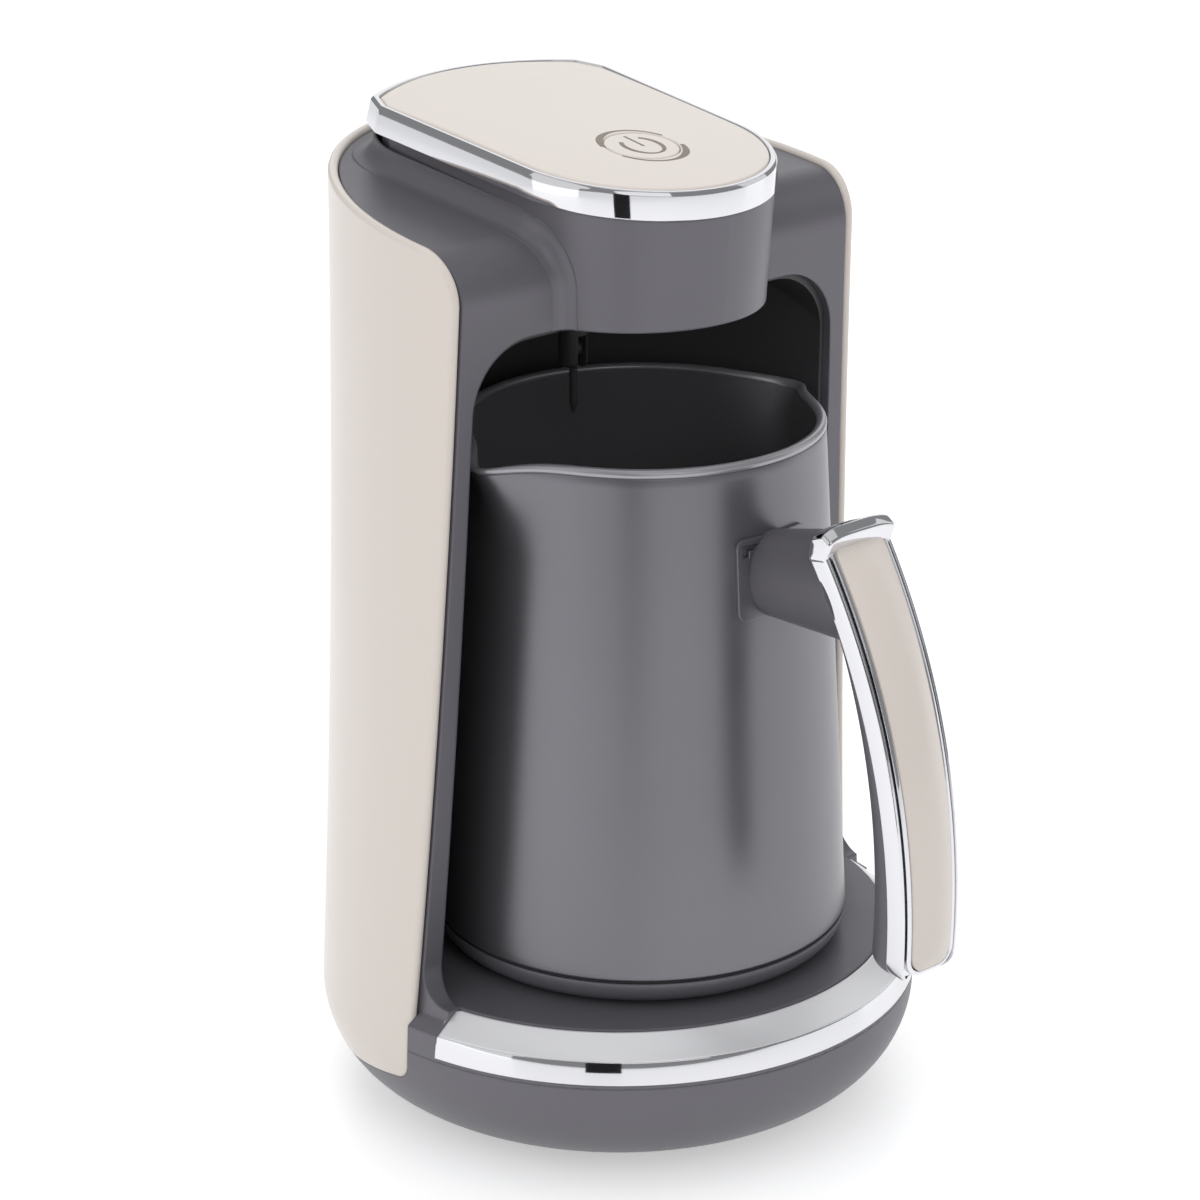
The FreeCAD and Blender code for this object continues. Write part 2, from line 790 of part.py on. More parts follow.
# Posts for the control board in the head and the power board at the back
BOARD_TOP = -S.board_depth
BOARD_UNDER = BOARD_TOP - S.board_thickness
POST_Y = (-14, 28)
POST_X = (-1, 1)
head_posts = []
post_holes = []
board_screws = []
for row, y in enumerate(POST_Y):
    for side in POST_X:
        tag = f"{row}_{side + 1}"
        foot = -tilted_down(S.bay_ceiling + S.nose_floor * 0.5, y)
        place = (S.post_half_width * side, y)
        post = disc(f"head_post{tag}", S.post_radius, foot, BOARD_UNDER, *place)
        head_posts.append(tilted(post))
        hole = disc(f"post_hole{tag}", S.screw_radius * 0.8, BOARD_UNDER - 6, BOARD_TOP + 1, *place)
        post_holes.append(tilted(hole))
        one = screw(f"board_screw{tag}", S.screw_head * 0.8, S.screw_radius * 0.8, 1.6, 7)
        lift = BOARD_TOP + 1.6
        level = S.crest_height + SLOPE * y + lift / cos_of(S.head_tilt)
        slip = y * (cos_of(S.head_tilt) - 1) - lift * sin_of(S.head_tilt)
        set_place(one, place[0], y + slip, level + SLOPE * slip, (1, 0, 0), 180 + S.head_tilt.value)
        board_screws.append(one)

rear_posts = []
rear_holes = []
power_screws = []
for row, height in enumerate((72, 138)):
    for side in (-1, 1):
        tag = f"{row}_{side + 1}"
        post = disc(f"rear_post{tag}", 3.2, 0, S.board_back - 43)
        rear_posts.append(set_place(post, 21 * side, 43, height, (1, 0, 0), -90))
        hole = disc(f"rear_hole{tag}", S.screw_radius * 0.8, 0, 8)
        rear_holes.append(set_place(hole, 21 * side, S.board_back - 6, height, (1, 0, 0), -90))
        one = screw(f"power_screw{tag}", S.screw_head * 0.8, S.screw_radius * 0.8, 1.6, 7)
        power_screws.append(set_place(one, 21 * side, S.board_back + S.board_thickness + 1.6,
                                      height, (1, 0, 0), 90))

bay_back = S.bay_depth - S.bay_centre
socket_front = bay_back - S.liner_wall
socket_hole = block("socket_hole", -S.socket_half_width, S.socket_half_width, socket_front - 10,
                    socket_front + S.socket_depth, S.plug_bottom - 1.5, S.plug_top + 3)

boss_hole = disc("boss_hole", S.boss_radius + 0.1, S.bay_ceiling - 5, S.bay_ceiling + 8, 0, S.probe_back)
housing_shell = fuse("housing_shell", walls, head_solid)
housing_open = cut("housing_open", housing_shell, bay, trim_seat, head_room, under_deck, rear_room)
housing_full = fuse("housing_full", housing_open, *housing_bosses, *head_posts, *rear_posts)
keep("main_housing", cut("main_housing", housing_full, screw_holes, group("post_holes", post_holes),
                         group("rear_holes", rear_holes), socket_hole, boss_hole))

# Chrome arc round the front of the base
trim_ring = turned("trim_ring", [
    (S.trim_inner_radius, S.seam_height + S.trim_lip),
    (S.base_radius + S.trim_proud, S.seam_height + S.trim_lip),
    (S.base_radius + S.trim_proud, S.trim_crest_height),
    (S.base_radius - 0.5, S.trim_crest_height + 0.9),
    (S.trim_inner_radius, S.deck_height),
])
keep("base_chrome_arc", common("base_chrome_arc", trim_ring,
                               block("trim_front", -120, 120, FRONT, foot_y, 0, 100)))

# Dark lining of the bay
liner_front = side_block("liner_front", [
    (front_y(0) + S.liner_setback, 0), (BACK, 0), (BACK, 300), (front_y(300) + S.liner_setback, 300),
], WIDE)
liner_solid = common("liner_solid", bay, liner_front)
keep("bay_liner", cut("bay_liner", liner_solid, bay_inside, socket_hole, boss_hole))

# Boss and foam probe under the bay's ceiling
boss_foot = S.hinge_height - S.boss_reach
boss_top = S.bay_ceiling + S.nose_floor
boss_body = turned("boss_body", [
    (0, boss_foot), (S.boss_radius - 1.8, boss_foot), Arc(1.5, 1), (S.boss_radius - 0.3, boss_foot + 1.5),
    (S.boss_radius, S.bay_ceiling - 3), (S.boss_radius, boss_top), (0, boss_top),
])
set_place(boss_body, 0, S.probe_back, 0)
boss_cap = disc("boss_cap", S.boss_radius + 2, boss_top, boss_top + 1.6, 0, S.probe_back)
probe_slot = block("probe_slot", -(S.probe_slot / 2), S.probe_slot / 2, 0, 40, boss_foot - 1,
                   S.hinge_height + S.probe_eye + 1.2)


def cross_rod(name, radius, width, y, height):
    """A level rod along X about the centre plane."""
    rod = disc(name, radius, -(as_size(width) / 2), as_size(width) / 2)
    return set_place(rod, 0, y, height, (0, 1, 0), 90)


pin_length = S.boss_radius * 2 - 1.4
pin_hole = cross_rod("pin_hole", S.hinge_pin_radius, pin_length, S.probe_back, S.hinge_height)
keep("sensor_boss", cut("sensor_boss", fuse("boss_solid", boss_body, boss_cap), probe_slot, pin_hole))
keep("probe_pin", cross_rod("probe_pin", S.hinge_pin_radius, pin_length, S.probe_back, S.hinge_height))
probe_rod = turned("probe_rod", [
    (0, S.probe_tip_height), (0.35, S.probe_tip_height), (S.probe_radius, S.probe_tip_height + 2.2),
    (S.probe_radius, S.hinge_height - 1), (0, S.hinge_height - 1),
])
set_place(probe_rod, 0, S.probe_back, 0)
probe_eye = cross_rod("probe_eye", S.probe_eye, S.probe_eye_width, S.probe_back, S.hinge_height)
probe_bore = cross_rod("probe_bore", S.hinge_pin_radius + S.hinge_clearance, 10, S.probe_back,
                       S.hinge_height)
keep("foam_probe", cut("foam_probe", fuse("probe_solid", probe_rod, probe_eye), probe_bore))

# Tilted top of the head: chrome band, cream plate, button, light guide and control board
band = new_body("chrome_band")
pad(band, draw_outline(new_sketch(band, "band_outside", "XY_Plane", -S.band_height),
                       head_outline(-S.band_proud)), S.band_height)
pocket_through(band, draw_outline(new_sketch(band, "band_inside"), head_outline(S.band_wall)))
keep("chrome_band", tilted(band))

plate_bottom = -S.plate_thickness
plate_blank = new_body("plate_blank")
pad(plate_blank, draw_outline(new_sketch(plate_blank, "plate_plan", "XY_Plane", plate_bottom),
                              head_outline(S.band_wall + 0.1)), S.plate_thickness + 3)
dome_radius = S.head_flank * S.head_flank / (S.plate_dome * 2)
dome = doc.addObject("Part::Sphere", "plate_sphere")
bind(dome, "Radius", dome_radius)
set_place(dome, 0, 9, S.plate_dome - dome_radius - 0.2)
collar = disc("collar", S.button_radius + S.button_gap + S.collar_wall, plate_bottom - S.collar_depth,
              plate_bottom + 0.5, 0, -S.button_forward)
button_hole = disc("button_hole", S.button_radius + S.button_gap, -20, 20, 0, -S.button_forward)
plate_domed = common("plate_domed", plate_blank, dome)
keep("top_plate", tilted(cut("top_plate", fuse("plate_full", plate_domed, collar), button_hole)))

collar_foot = plate_bottom - S.collar_depth
switch_top = BOARD_TOP + 3.6
button_path = [
    (0, switch_top + S.button_travel + 0.05),
    (2.2, switch_top + S.button_travel + 0.05),
    (2.2, collar_foot - 1.3),
    (S.button_radius + S.collar_wall, collar_foot - 1.3),
    (S.button_radius + S.collar_wall, collar_foot - 0.1),
    (S.button_radius, collar_foot - 0.1),
    (S.button_radius, S.plate_dome - 0.7),
    (S.button_radius - 0.5, S.plate_dome - 0.3),
    (0, S.plate_dome - 0.3),
]


def tilted_at(thing, y):
    """Lay a turned piece into the crest plane with its axis through y on the centre line."""
    return set_place(thing, 0, y * cos_of(S.head_tilt), S.crest_height + y * sin_of(S.head_tilt),
                     (1, 0, 0), S.head_tilt)


keep("power_button", tilted_at(turned("power_button", button_path), -S.button_forward))
guide_inner = S.button_radius + S.button_gap + S.collar_wall + 0.3
light_guide = turned("light_guide", [
    (guide_inner, plate_bottom - 5), (guide_inner + 1.6, plate_bottom - 5),
    (guide_inner + 2.4, plate_bottom), (guide_inner, plate_bottom),
])
keep("light_guide", tilted_at(light_guide, -S.button_forward))

board = plate("control_board_blank", [
    (-S.board_half_width, -S.board_shoulder), (-S.board_nose, -S.board_front),
    (S.board_nose, -S.board_front), (S.board_half_width, -S.board_shoulder),
    (S.board_half_width, S.board_rear), (-S.board_half_width, S.board_rear),
], BOARD_UNDER, S.board_thickness)
keep("control_board", cut("control_board", tilted(board), doc.getObject("post_holes")))
switch_case = block("switch_case", -3, 3, -S.button_forward - 3, -S.button_forward + 3, BOARD_TOP,
                    BOARD_TOP + 2.8)
switch_stud = disc("switch_stud", 1.7, BOARD_TOP + 2.5, switch_top, 0, -S.button_forward)
keep("tact_switch", tilted(fuse("tact_switch", switch_case, switch_stud)))
lamps = []
for count, (x, y) in enumerate(((-12, 0), (12, 0), (0, 12), (0, -12)), start=1):
    lamps.append(block(f"lamp{count}", x - 1.6, x + 1.6, y - S.button_forward - 1.6,
                       y - S.button_forward + 1.6, BOARD_TOP, BOARD_TOP + 1.4))
keep("status_lamps", tilted(group("status_lamps", lamps)))
keep("buzzer", tilted(disc("buzzer", 6, BOARD_TOP, BOARD_TOP + 7, -14, 20)))
keep("board_screws", group("board_screws", board_screws))

# Electrics behind the bay
power_board = front_block("power_board_blank", [(-29, 62), (29, 62), (29, 152), (-29, 152)],
                          S.board_thickness)
set_place(power_board, 0, S.board_back + S.board_thickness / 2, 0)
keep("power_board", cut("power_board", power_board, doc.getObject("rear_holes")))
board_face = S.board_back + S.board_thickness
keep("power_relay", block("power_relay", -17, -1, board_face, board_face + 9, 84, 104))
terminal = block("terminal_body", -11, 11, board_face, board_face + 8, 66, 76)
terminal_wells = group("terminal_wells", [
    set_place(disc(f"terminal_well{count}", 1.9, 0, 6), x, board_face + 4, 62, (0, 0, 1), 0)
    for count, x in enumerate((-7, 0, 7), start=1)])
keep("terminal_block", cut("terminal_block", terminal, terminal_wells))
keep("supply_coil", block("supply_coil", 2, 16, board_face, board_face + 10, 110, 128))
capacitor = disc("capacitor", 4.2, 0, 11)
keep("capacitor", set_place(capacitor, -10, board_face, 124, (1, 0, 0), -90))
keep("power_screws", group("power_screws", power_screws))

# Power socket at the back of the bay, with three contact pins
socket_body = block("socket_body", -S.socket_half_width, S.socket_half_width, socket_front,
                    socket_front + S.socket_depth, S.plug_bottom - 1.5, S.plug_top + 3)
pin_height = (S.plug_bottom + S.plug_top) / 2
jug_back = S.jug_base_radius - S.jug_forward
plug_back = jug_back + S.plug_reach
pins = []
pin_tool = []
for count, step in enumerate((-1, 0, 1), start=1):
    pin = turned(f"pin{count}", [
        (0, 0), (S.pin_radius * 0.4, 0), (S.pin_radius, 1.2), (S.pin_radius, S.socket_depth + 4),
        (0, S.socket_depth + 4),
    ])
    pins.append(set_place(pin, S.pin_pitch * step, plug_back - 6, pin_height, (1, 0, 0), -90))
    well = disc(f"pin_well{count}", S.pin_radius + S.pin_clearance, 0, 20)
    pin_tool.append(set_place(well, S.pin_pitch * step, plug_back - 7, pin_height, (1, 0, 0), -90))
keep("contact_pins", group("contact_pins", pins))
keep("power_socket", cut("power_socket", socket_body, group("pin_seats", pins)))

# Cord gland at the back of the base; its bore is empty
gland_barrel = turned("gland_barrel", [
    (S.gland_bore, -15), (S.gland_radius, -15), (S.gland_radius, S.gland_reach),
    (S.gland_bore, S.gland_reach),
])
gland_flange = turned("gland_flange", [
    (S.gland_radius - 0.5, -8), (S.gland_flange, -8), (S.gland_flange, 0.6),
    (S.gland_flange - 1.4, S.gland_reach), (S.gland_radius - 0.5, S.gland_reach),
])
for ring in (gland_barrel, gland_flange):
    set_place(ring, 0, S.base_radius, S.gland_height, (1, 0, 0), -90)
keep("cord_gland", fuse("cord_gland", gland_barrel, cut("gland_collar", gland_flange, wrap_outer)))

# Jug: base cup, seal, painted jacket and dark inner bowl, about the jug's own axis


def jug_radius(height):
    """Outer radius of the jug's straight taper."""
    fall = (S.jug_base_radius - S.jug_rim_radius) / (S.jug_rim_height - S.jug_seam)
    return S.jug_base_radius - fall * (as_size(height) - S.jug_seam)


JUG_LEVELS = (44, 85, 112, 130, 140, 149, 157, 164, 170)
AROUND = 48


def jug_curve(inset, height):
    """The jug's outline at a height: a circle with a pouring lip on each side."""
    rise = max(height - S.lip_start.value, 0) / (S.jug_rim_height.value - S.lip_start.value)
    reach = S.lip_reach.value * rise ** 1.7
    radius = jug_radius(height).value - inset
    points = []
    for step in range(AROUND):
        angle = 2 * math.pi * (step / AROUND + 0.125)
        away = math.degrees(math.acos(min(1.0, abs(math.cos(angle)))))
        along = radius + reach * math.exp(-(away / S.lip_spread.value) ** 2)
        points.append(Vector(along * math.cos(angle), along * math.sin(angle), height))
    curve = Part.BSplineCurve()
    curve.interpolate(points, PeriodicFlag=True)
    return Part.Wire([curve.toShape()])


def jug_form(name, inset, floor, top):
    """The jug's wall, drawn in by inset, as a loft cut off level at floor and top."""
    curves = [jug_curve(inset, height) for height in JUG_LEVELS]
    form = doc.addObject("Part::Feature", name + "_loft")
    form.Shape = Part.makeLoft(curves, True, False)
    return common(name, form, disc(name + "_slab", S.base_radius, floor, top))


jug_axis = -S.jug_forward
seal_top = S.jug_seam + S.seal_height
bowl_inset = S.jug_wall.value + S.bowl_gap.value
bowl_under = S.bowl_floor_height - S.bowl_wall
over_rim = S.jug_rim_height + 1
jacket_outer = jug_form("jacket_outer", 0, seal_top, S.jug_rim_height)
jacket_inner = jug_form("jacket_inner", S.jug_wall.value, S.jug_seam, over_rim)
bowl_outer = jug_form("bowl_outer", bowl_inset, bowl_under, S.jug_rim_height - 0.6)
bowl_inner = jug_form("bowl_inner", bowl_inset + S.bowl_wall.value, S.bowl_floor_height, over_rim)

plug_window = block("plug_window", -S.plug_half_width - 0.2, S.plug_half_width + 0.2,
                    plug_back - S.plug_depth - 1 + S.jug_forward, plug_back + 20,
                    S.plug_bottom - 0.2, S.plug_top + 0.2)
jacket = cut("jug_jacket", jacket_outer, jacket_inner, plug_window)
keep("jug_jacket", set_place(jacket, 0, jug_axis, 0))
keep("jug_bowl", set_place(cut("jug_bowl", bowl_outer, bowl_inner), 0, jug_axis, 0))

cup_bottom = S.deck_height + S.jug_lift
cup = turned("cup_solid", [
    (0, cup_bottom), (S.jug_base_radius - S.jug_round, cup_bottom), Arc(S.jug_round, 1),
    (S.jug_base_radius, cup_bottom + S.jug_round), (S.jug_base_radius, S.jug_seam),
    (S.jug_base_radius - S.cup_wall, S.jug_seam),
    (S.jug_base_radius - S.cup_wall, cup_bottom + S.jug_round),
    Arc(S.jug_round - S.cup_wall, -1),
    (S.jug_base_radius - S.jug_round, cup_bottom + S.cup_wall), (0, cup_bottom + S.cup_wall),
])
cup_bosses = []
cup_screws = []
cup_holes = []
for count, angle in enumerate((150, 270, 30), start=1):
    x = S.cup_screw_reach * math.cos(math.radians(angle))
    y = S.cup_screw_reach * math.sin(math.radians(angle))
    cup_bosses.append(disc(f"cup_boss{count}", 3.4, cup_bottom + 1, 50, x, y))
    one = screw(f"cup_screw{count}", S.screw_head, S.screw_radius, 1.4, 7)
    cup_screws.append(set_place(one, x, y + jug_axis, cup_bottom + 0.3))
    hole = turned(f"cup_hole{count}", [
        (0, cup_bottom - 1), (S.screw_head + 0.3, cup_bottom - 1), (S.screw_head + 0.3, cup_bottom + 1.7),
        (S.screw_radius, cup_bottom + 1.7), (S.screw_radius, cup_bottom + 9), (0, cup_bottom + 9),
    ])
    cup_holes.append(set_place(hole, x, y, 0))
cup_full = fuse("cup_full", cup, *cup_bosses)
keep("jug_base_cup", set_place(cut("jug_base_cup", cup_full, group("cup_holes", cup_holes), plug_window),
                               0, jug_axis, 0))
keep("jug_base_screws", group("jug_base_screws", cup_screws))
seal = turned("seal_ring", [
    (S.jug_base_radius - S.cup_wall, S.jug_seam), (S.jug_base_radius - 0.4, S.jug_seam),
    (S.jug_base_radius - 0.4, seal_top), (S.jug_base_radius - S.cup_wall, seal_top),
])
keep("jug_seal", set_place(cut("jug_seal", seal, plug_window), 0, jug_axis, 0))

heater_top = bowl_under
heater_foot = heater_top - S.heater_thickness
heater_back = plug_back - S.plug_depth - 0.5 + S.jug_forward
heater_plate = disc("heater_plate_solid", S.heater_radius, heater_foot, heater_top)
heater_trim = block("heater_trim", -60, 60, heater_back, 80, 30, 80)
keep("heater_plate", set_place(cut("heater_plate", heater_plate, heater_trim), 0, jug_axis, 0))
element = doc.addObject("Part::Torus", "heater_element")
bind(element, "Radius1", S.element_ring)
bind(element, "Radius2", S.element_radius)
keep("heater_element", set_place(element, 0, jug_axis, heater_foot - S.element_radius))
keep("thermostat", disc("thermostat", 8, heater_foot - 5, heater_foot, 0, jug_axis))
fuse_tube = disc("thermal_fuse", 2, -8, 8)
keep("thermal_fuse", set_place(fuse_tube, 0, jug_axis - 14, heater_foot - 2, (0, 1, 0), 90))

plug_body = block("plug_body", -S.plug_half_width, S.plug_half_width, plug_back - S.plug_depth,
                  plug_back, S.plug_bottom, S.plug_top)
keep("jug_plug", cut("jug_plug", plug_body, group("pin_wells", pin_tool)))

# Grip: mount plate on the jug's wall, neck and spine, chrome frame, rim and cream inlay


def jug_cone(name, grow):
    """The jug's straight taper as a turned solid, grown by grow."""
    low, high = S.jug_seam + 20, S.jug_rim_height
    cone = turned(name, [(0, low), (jug_radius(low) + grow, low), (jug_radius(high) + grow, high),
                         (0, high)])
    return set_place(cone, 0, jug_axis, 0)


mount_block = front_block("mount_block", [
    (-S.mount_half_width, S.mount_bottom + 2), Arc(2, 1), (2 - S.mount_half_width, S.mount_bottom),
    (S.mount_half_width - 2, S.mount_bottom), Arc(2, 1), (S.mount_half_width, S.mount_bottom + 2),
    (S.mount_half_width, S.mount_top - 2), Arc(2, 1), (S.mount_half_width - 2, S.mount_top),
    (2 - S.mount_half_width, S.mount_top), Arc(2, 1), (-S.mount_half_width, S.mount_top - 2),
], 40)
set_place(mount_block, 0, jug_axis - S.jug_rim_radius, 0)
mount_slot = front_block("mount_slot", [
    (1.5 - S.mount_half_width, S.mount_top - 4.2), (3 - S.mount_half_width, S.mount_top - 4.2),
    (3 - S.mount_half_width, S.mount_top - 2.8), (S.mount_half_width - 3, S.mount_top - 2.8),
    (S.mount_half_width - 3, S.mount_top - 4.2), (S.mount_half_width - 1.5, S.mount_top - 4.2),
    (S.mount_half_width - 1.5, S.mount_top - 1.4), (1.5 - S.mount_half_width, S.mount_top - 1.4),
], 40)
set_place(mount_slot, 0, jug_axis - S.jug_rim_radius, 0)
mount_full = cut("mount_full", common("mount_skin", mount_block, jug_cone("mount_cone", S.mount_thickness)),
                 jug_cone("mount_core", 0))
keep("grip_mount_plate", cut("grip_mount_plate", mount_full, mount_slot))


def arc_y(centre, level, radius, height):
    """Where a side arc of the grip stands at a height."""
    rise = as_size(height) - level
    return centre - root_of(radius * radius - rise * rise)


def inner_y(height, inset=0):
    return arc_y(S.grip_inner_centre, S.grip_inner_level, S.grip_inner_radius + inset, height)


def outer_y(height, inset=0):
    return arc_y(S.grip_outer_centre, S.grip_outer_level, S.grip_outer_radius - inset, height)


def grip_taper(name, inset):
    """Front view of the grip: wide at the top and narrow at the tip."""
    top, bottom = S.grip_top_half - inset, S.grip_bottom_half - inset
    return front_block(name, [(-bottom, S.grip_bottom - 2), (bottom, S.grip_bottom - 2),
                              (top, S.grip_top + 10), (-top, S.grip_top + 10)], WIDE)


spine_low = S.grip_bottom + 5.5
frame_back = S.frame_depth
spine_side = side_block("spine_side", [
    (inner_y(spine_low), spine_low),
    Arc(5.5, 1),
    (inner_y(spine_low) - 5, S.grip_bottom + 0.4),
    (outer_y(spine_low) + 4.6, S.grip_bottom),
    (outer_y(spine_low, frame_back), S.grip_bottom + 3),
    Arc(S.grip_outer_radius - frame_back, -1),
    (outer_y(S.grip_top - 1, frame_back), S.grip_top - 1),
    (inner_y(S.grip_top - 12), S.grip_top - 12),
    Arc(S.grip_inner_radius, 1),
], 40)
spine_solid = common("spine_solid", spine_side, grip_taper("spine_taper", 0.7))
neck_root = doc.addObject("Part::Ellipse", "neck_root")
bind(neck_root, "MajorRadius", S.neck_half_height)
bind(neck_root, "MinorRadius", S.neck_half_width)
set_place(neck_root, 0, jug_axis - S.jug_rim_radius + 4.3, S.neck_height, (1, 0, 0), 90)
neck_root.Placement = Placement(neck_root.Placement.Base, Rotation(Vector(1, 0, 0), 90)
                                * Rotation(Vector(0, 0, 1), 90))
neck_end = doc.addObject("Part::Ellipse", "neck_end")
bind(neck_end, "MajorRadius", S.neck_half_height + 2)
bind(neck_end, "MinorRadius", S.neck_half_width + 3.2)
set_place(neck_end, 0, -88, S.neck_height + 3.4, (1, 0, 0), 90)
neck_end.Placement = Placement(neck_end.Placement.Base, Rotation(Vector(1, 0, 0), 90)
                               * Rotation(Vector(0, 0, 1), 90))
neck = loft("neck", [neck_root, neck_end])
neck_top = S.grip_top - 1
neck_limit = side_block("neck_limit", [
    (0, 100), (0, neck_top), (outer_y(neck_top, frame_back), neck_top),
    Arc(S.grip_outer_radius - frame_back, 1), (outer_y(120, frame_back), 120),
], 60)
neck_trimmed = common("neck_trimmed", neck, neck_limit)

frame_top = S.grip_top
frame_side = side_block("frame_side", [
    (outer_y(spine_low, frame_back), S.grip_bottom + 3),
    (outer_y(spine_low) + 4.6, S.grip_bottom),
    (outer_y(spine_low) + 1.0, S.grip_bottom + 2.5),
    (outer_y(spine_low, 1), spine_low + 3),
    Arc(S.grip_outer_radius - 1, -1),
    (outer_y(frame_top - 1, 1), frame_top - 1),
    (outer_y(frame_top) - 1.4, frame_top + 2.4),
    (outer_y(frame_top) + 0.8, frame_top + 4.6),
    (outer_y(frame_top) + 3.6, frame_top + 4.2),
    (outer_y(S.grip_top - 1, frame_back), S.grip_top - 1),
    Arc(S.grip_outer_radius - frame_back, 1),
], 40)
frame_solid = common("frame_solid", frame_side, grip_taper("frame_taper", 0))


def grip_layer(name, inset, deep, proud, end):
    """A layer of the grip's front: between two depths, inset from the sides and the ends."""
    low, high = spine_low + end, S.grip_top - end
    side = side_block(name + "_side", [
        (outer_y(low, deep), low), (outer_y(low, -proud), low),
        Arc(S.grip_outer_radius + proud, -1),
        (outer_y(high, -proud), high), (outer_y(high, deep), high),
        Arc(S.grip_outer_radius - deep, 1),
    ], 40)
    return common(name, side, grip_taper(name + "_taper", inset))


inlay_inset = S.inlay_side
rim_inset = S.inlay_side - S.rim_wall
groove_inset = rim_inset - S.groove
groove_room = grip_layer("groove_room", groove_inset, S.inlay_depth, 3, -0.5)
rim_outside = grip_layer("rim_outside", rim_inset, S.inlay_depth, 0.2, 0)
rim_inside = grip_layer("rim_inside", inlay_inset, S.inlay_depth + 1, 3, 1.1)
inlay = grip_layer("inlay", inlay_inset + 0.05, S.inlay_depth, 0.9, 1.15)

screw_level = S.neck_height + 2
grip_bore = turned("grip_bore", [
    (0, -70), (S.screw_radius, -70), (S.screw_radius, -6), (S.screw_head + 0.3, -6),
    (S.screw_head + 0.3, 12), (0, 12),
])
set_place(grip_bore, 0, outer_y(screw_level, frame_back), screw_level, (1, 0, 0), 90)
keep("grip_spine", cut("grip_spine", fuse("spine_full", spine_solid, neck_trimmed),
                       jug_cone("neck_core", S.mount_thickness), grip_bore))
keep("grip_frame", cut("grip_frame", frame_solid, groove_room, grip_bore))
keep("grip_rim", cut("grip_rim", rim_outside, rim_inside))
keep("grip_inlay", inlay)
grip_screw = screw("grip_screw", S.screw_head, S.screw_radius, SCREW_HEAD_HEIGHT, 14)
keep("grip_screw", set_place(grip_screw, 0, outer_y(screw_level, frame_back) + 6 - 2.0, screw_level,
                             (1, 0, 0), -90))

doc.recompute()

# Write each sub-part after testing the whole document
faults = [item.Name for item in doc.Objects if "Invalid" in item.State or "Error" in item.State]
for name, thing in nodes.items():
    shape = thing.Shape
    if shape.isNull() or not shape.isValid() or not shape.Solids:
        faults.append(name)
if faults:
    raise ValueError("not sound: " + ", ".join(faults))
os.makedirs("parts", exist_ok=True)
for name, thing in nodes.items():
    thing.Shape.exportStep(f"parts/{name}.step")
print(len(nodes), "sub-parts written")
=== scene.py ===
"""Looks of an electric Turkish coffee maker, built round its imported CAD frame.

The shapes are worked out in millimetres about the base's own upright axis and
are turned into metres in the common frame when a mesh is made.
"""
import logging
import math
from dataclasses import dataclass, field
from enum import Enum
from typing import Callable

import bmesh
import bpy
import numpy as np
from mathutils import Matrix, Vector


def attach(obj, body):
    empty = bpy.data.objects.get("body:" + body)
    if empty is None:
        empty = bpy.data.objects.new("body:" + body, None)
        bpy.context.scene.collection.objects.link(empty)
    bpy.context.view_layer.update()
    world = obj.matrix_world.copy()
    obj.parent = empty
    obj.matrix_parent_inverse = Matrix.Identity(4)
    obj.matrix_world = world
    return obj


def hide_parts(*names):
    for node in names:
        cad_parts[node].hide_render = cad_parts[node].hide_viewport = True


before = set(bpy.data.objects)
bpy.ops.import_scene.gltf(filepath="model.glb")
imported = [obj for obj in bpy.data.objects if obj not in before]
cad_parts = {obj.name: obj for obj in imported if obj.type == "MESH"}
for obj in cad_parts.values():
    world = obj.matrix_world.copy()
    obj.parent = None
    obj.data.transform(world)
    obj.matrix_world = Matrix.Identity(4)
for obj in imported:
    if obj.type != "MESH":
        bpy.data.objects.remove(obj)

LOG = logging.getLogger("coffee_maker")
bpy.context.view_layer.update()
MM = 0.001
# How far the base's axis stands behind the frame's origin, in millimetres
BASE_BACK = 15.74
# Corners that turn by more than this are shaded sharp
SHARP = math.radians(38)
# Rise of the head's top and of the shoulders towards the back
TILT = math.radians(6.84)
# Lean of the housing's front edge, which reaches forward as it rises
LEAN = math.radians(2.46)
# How far in front of the base's axis that edge's line meets the table, in millimetres
FRONT_OFFSET = 6.0
# Waves per metre of the slow drift in a finish's colour and gloss
DRIFT = 22.0


class Body(Enum):
    """The part's bodies that the new pieces ride on."""

    HOUSING = "housing"
    JUG = "jug"
    BUTTON = "button"


def linear(code: str) -> tuple[float, float, float, float]:
    """Turn an sRGB hex colour into linear red, green, blue and an alpha of one.

    Args:
        code: six hex digits, with or without a leading hash.

    Returns:
        The linear colour.
    """
    parts = np.array([int(code.lstrip("#")[place:place + 2], 16) for place in (0, 2, 4)]) / 255
    values = np.where(parts <= 0.04045, parts / 12.92, ((parts + 0.055) / 1.055) ** 2.4)
    return (*values.tolist(), 1.0)


def add_node(tree: bpy.types.NodeTree, kind: str, settings: dict | None = None,
             inputs: dict | None = None) -> bpy.types.Node:
    """Add a node, set its properties, and fill or link its inputs.

    Args:
        tree: the node tree to add to.
        kind: the node's Blender type name.
        settings: properties of the node itself.
        inputs: for each input name or number, a value or an output socket.

    Returns:
        The new node.
    """
    node = tree.nodes.new(kind)
    for name, value in (settings or {}).items():
        setattr(node, name, value)
    for name, value in (inputs or {}).items():
        socket = node.inputs[name]
        if isinstance(value, bpy.types.NodeSocket):
            tree.links.new(value, socket)
        else:
            socket.default_value = value
    return node


# Finishes


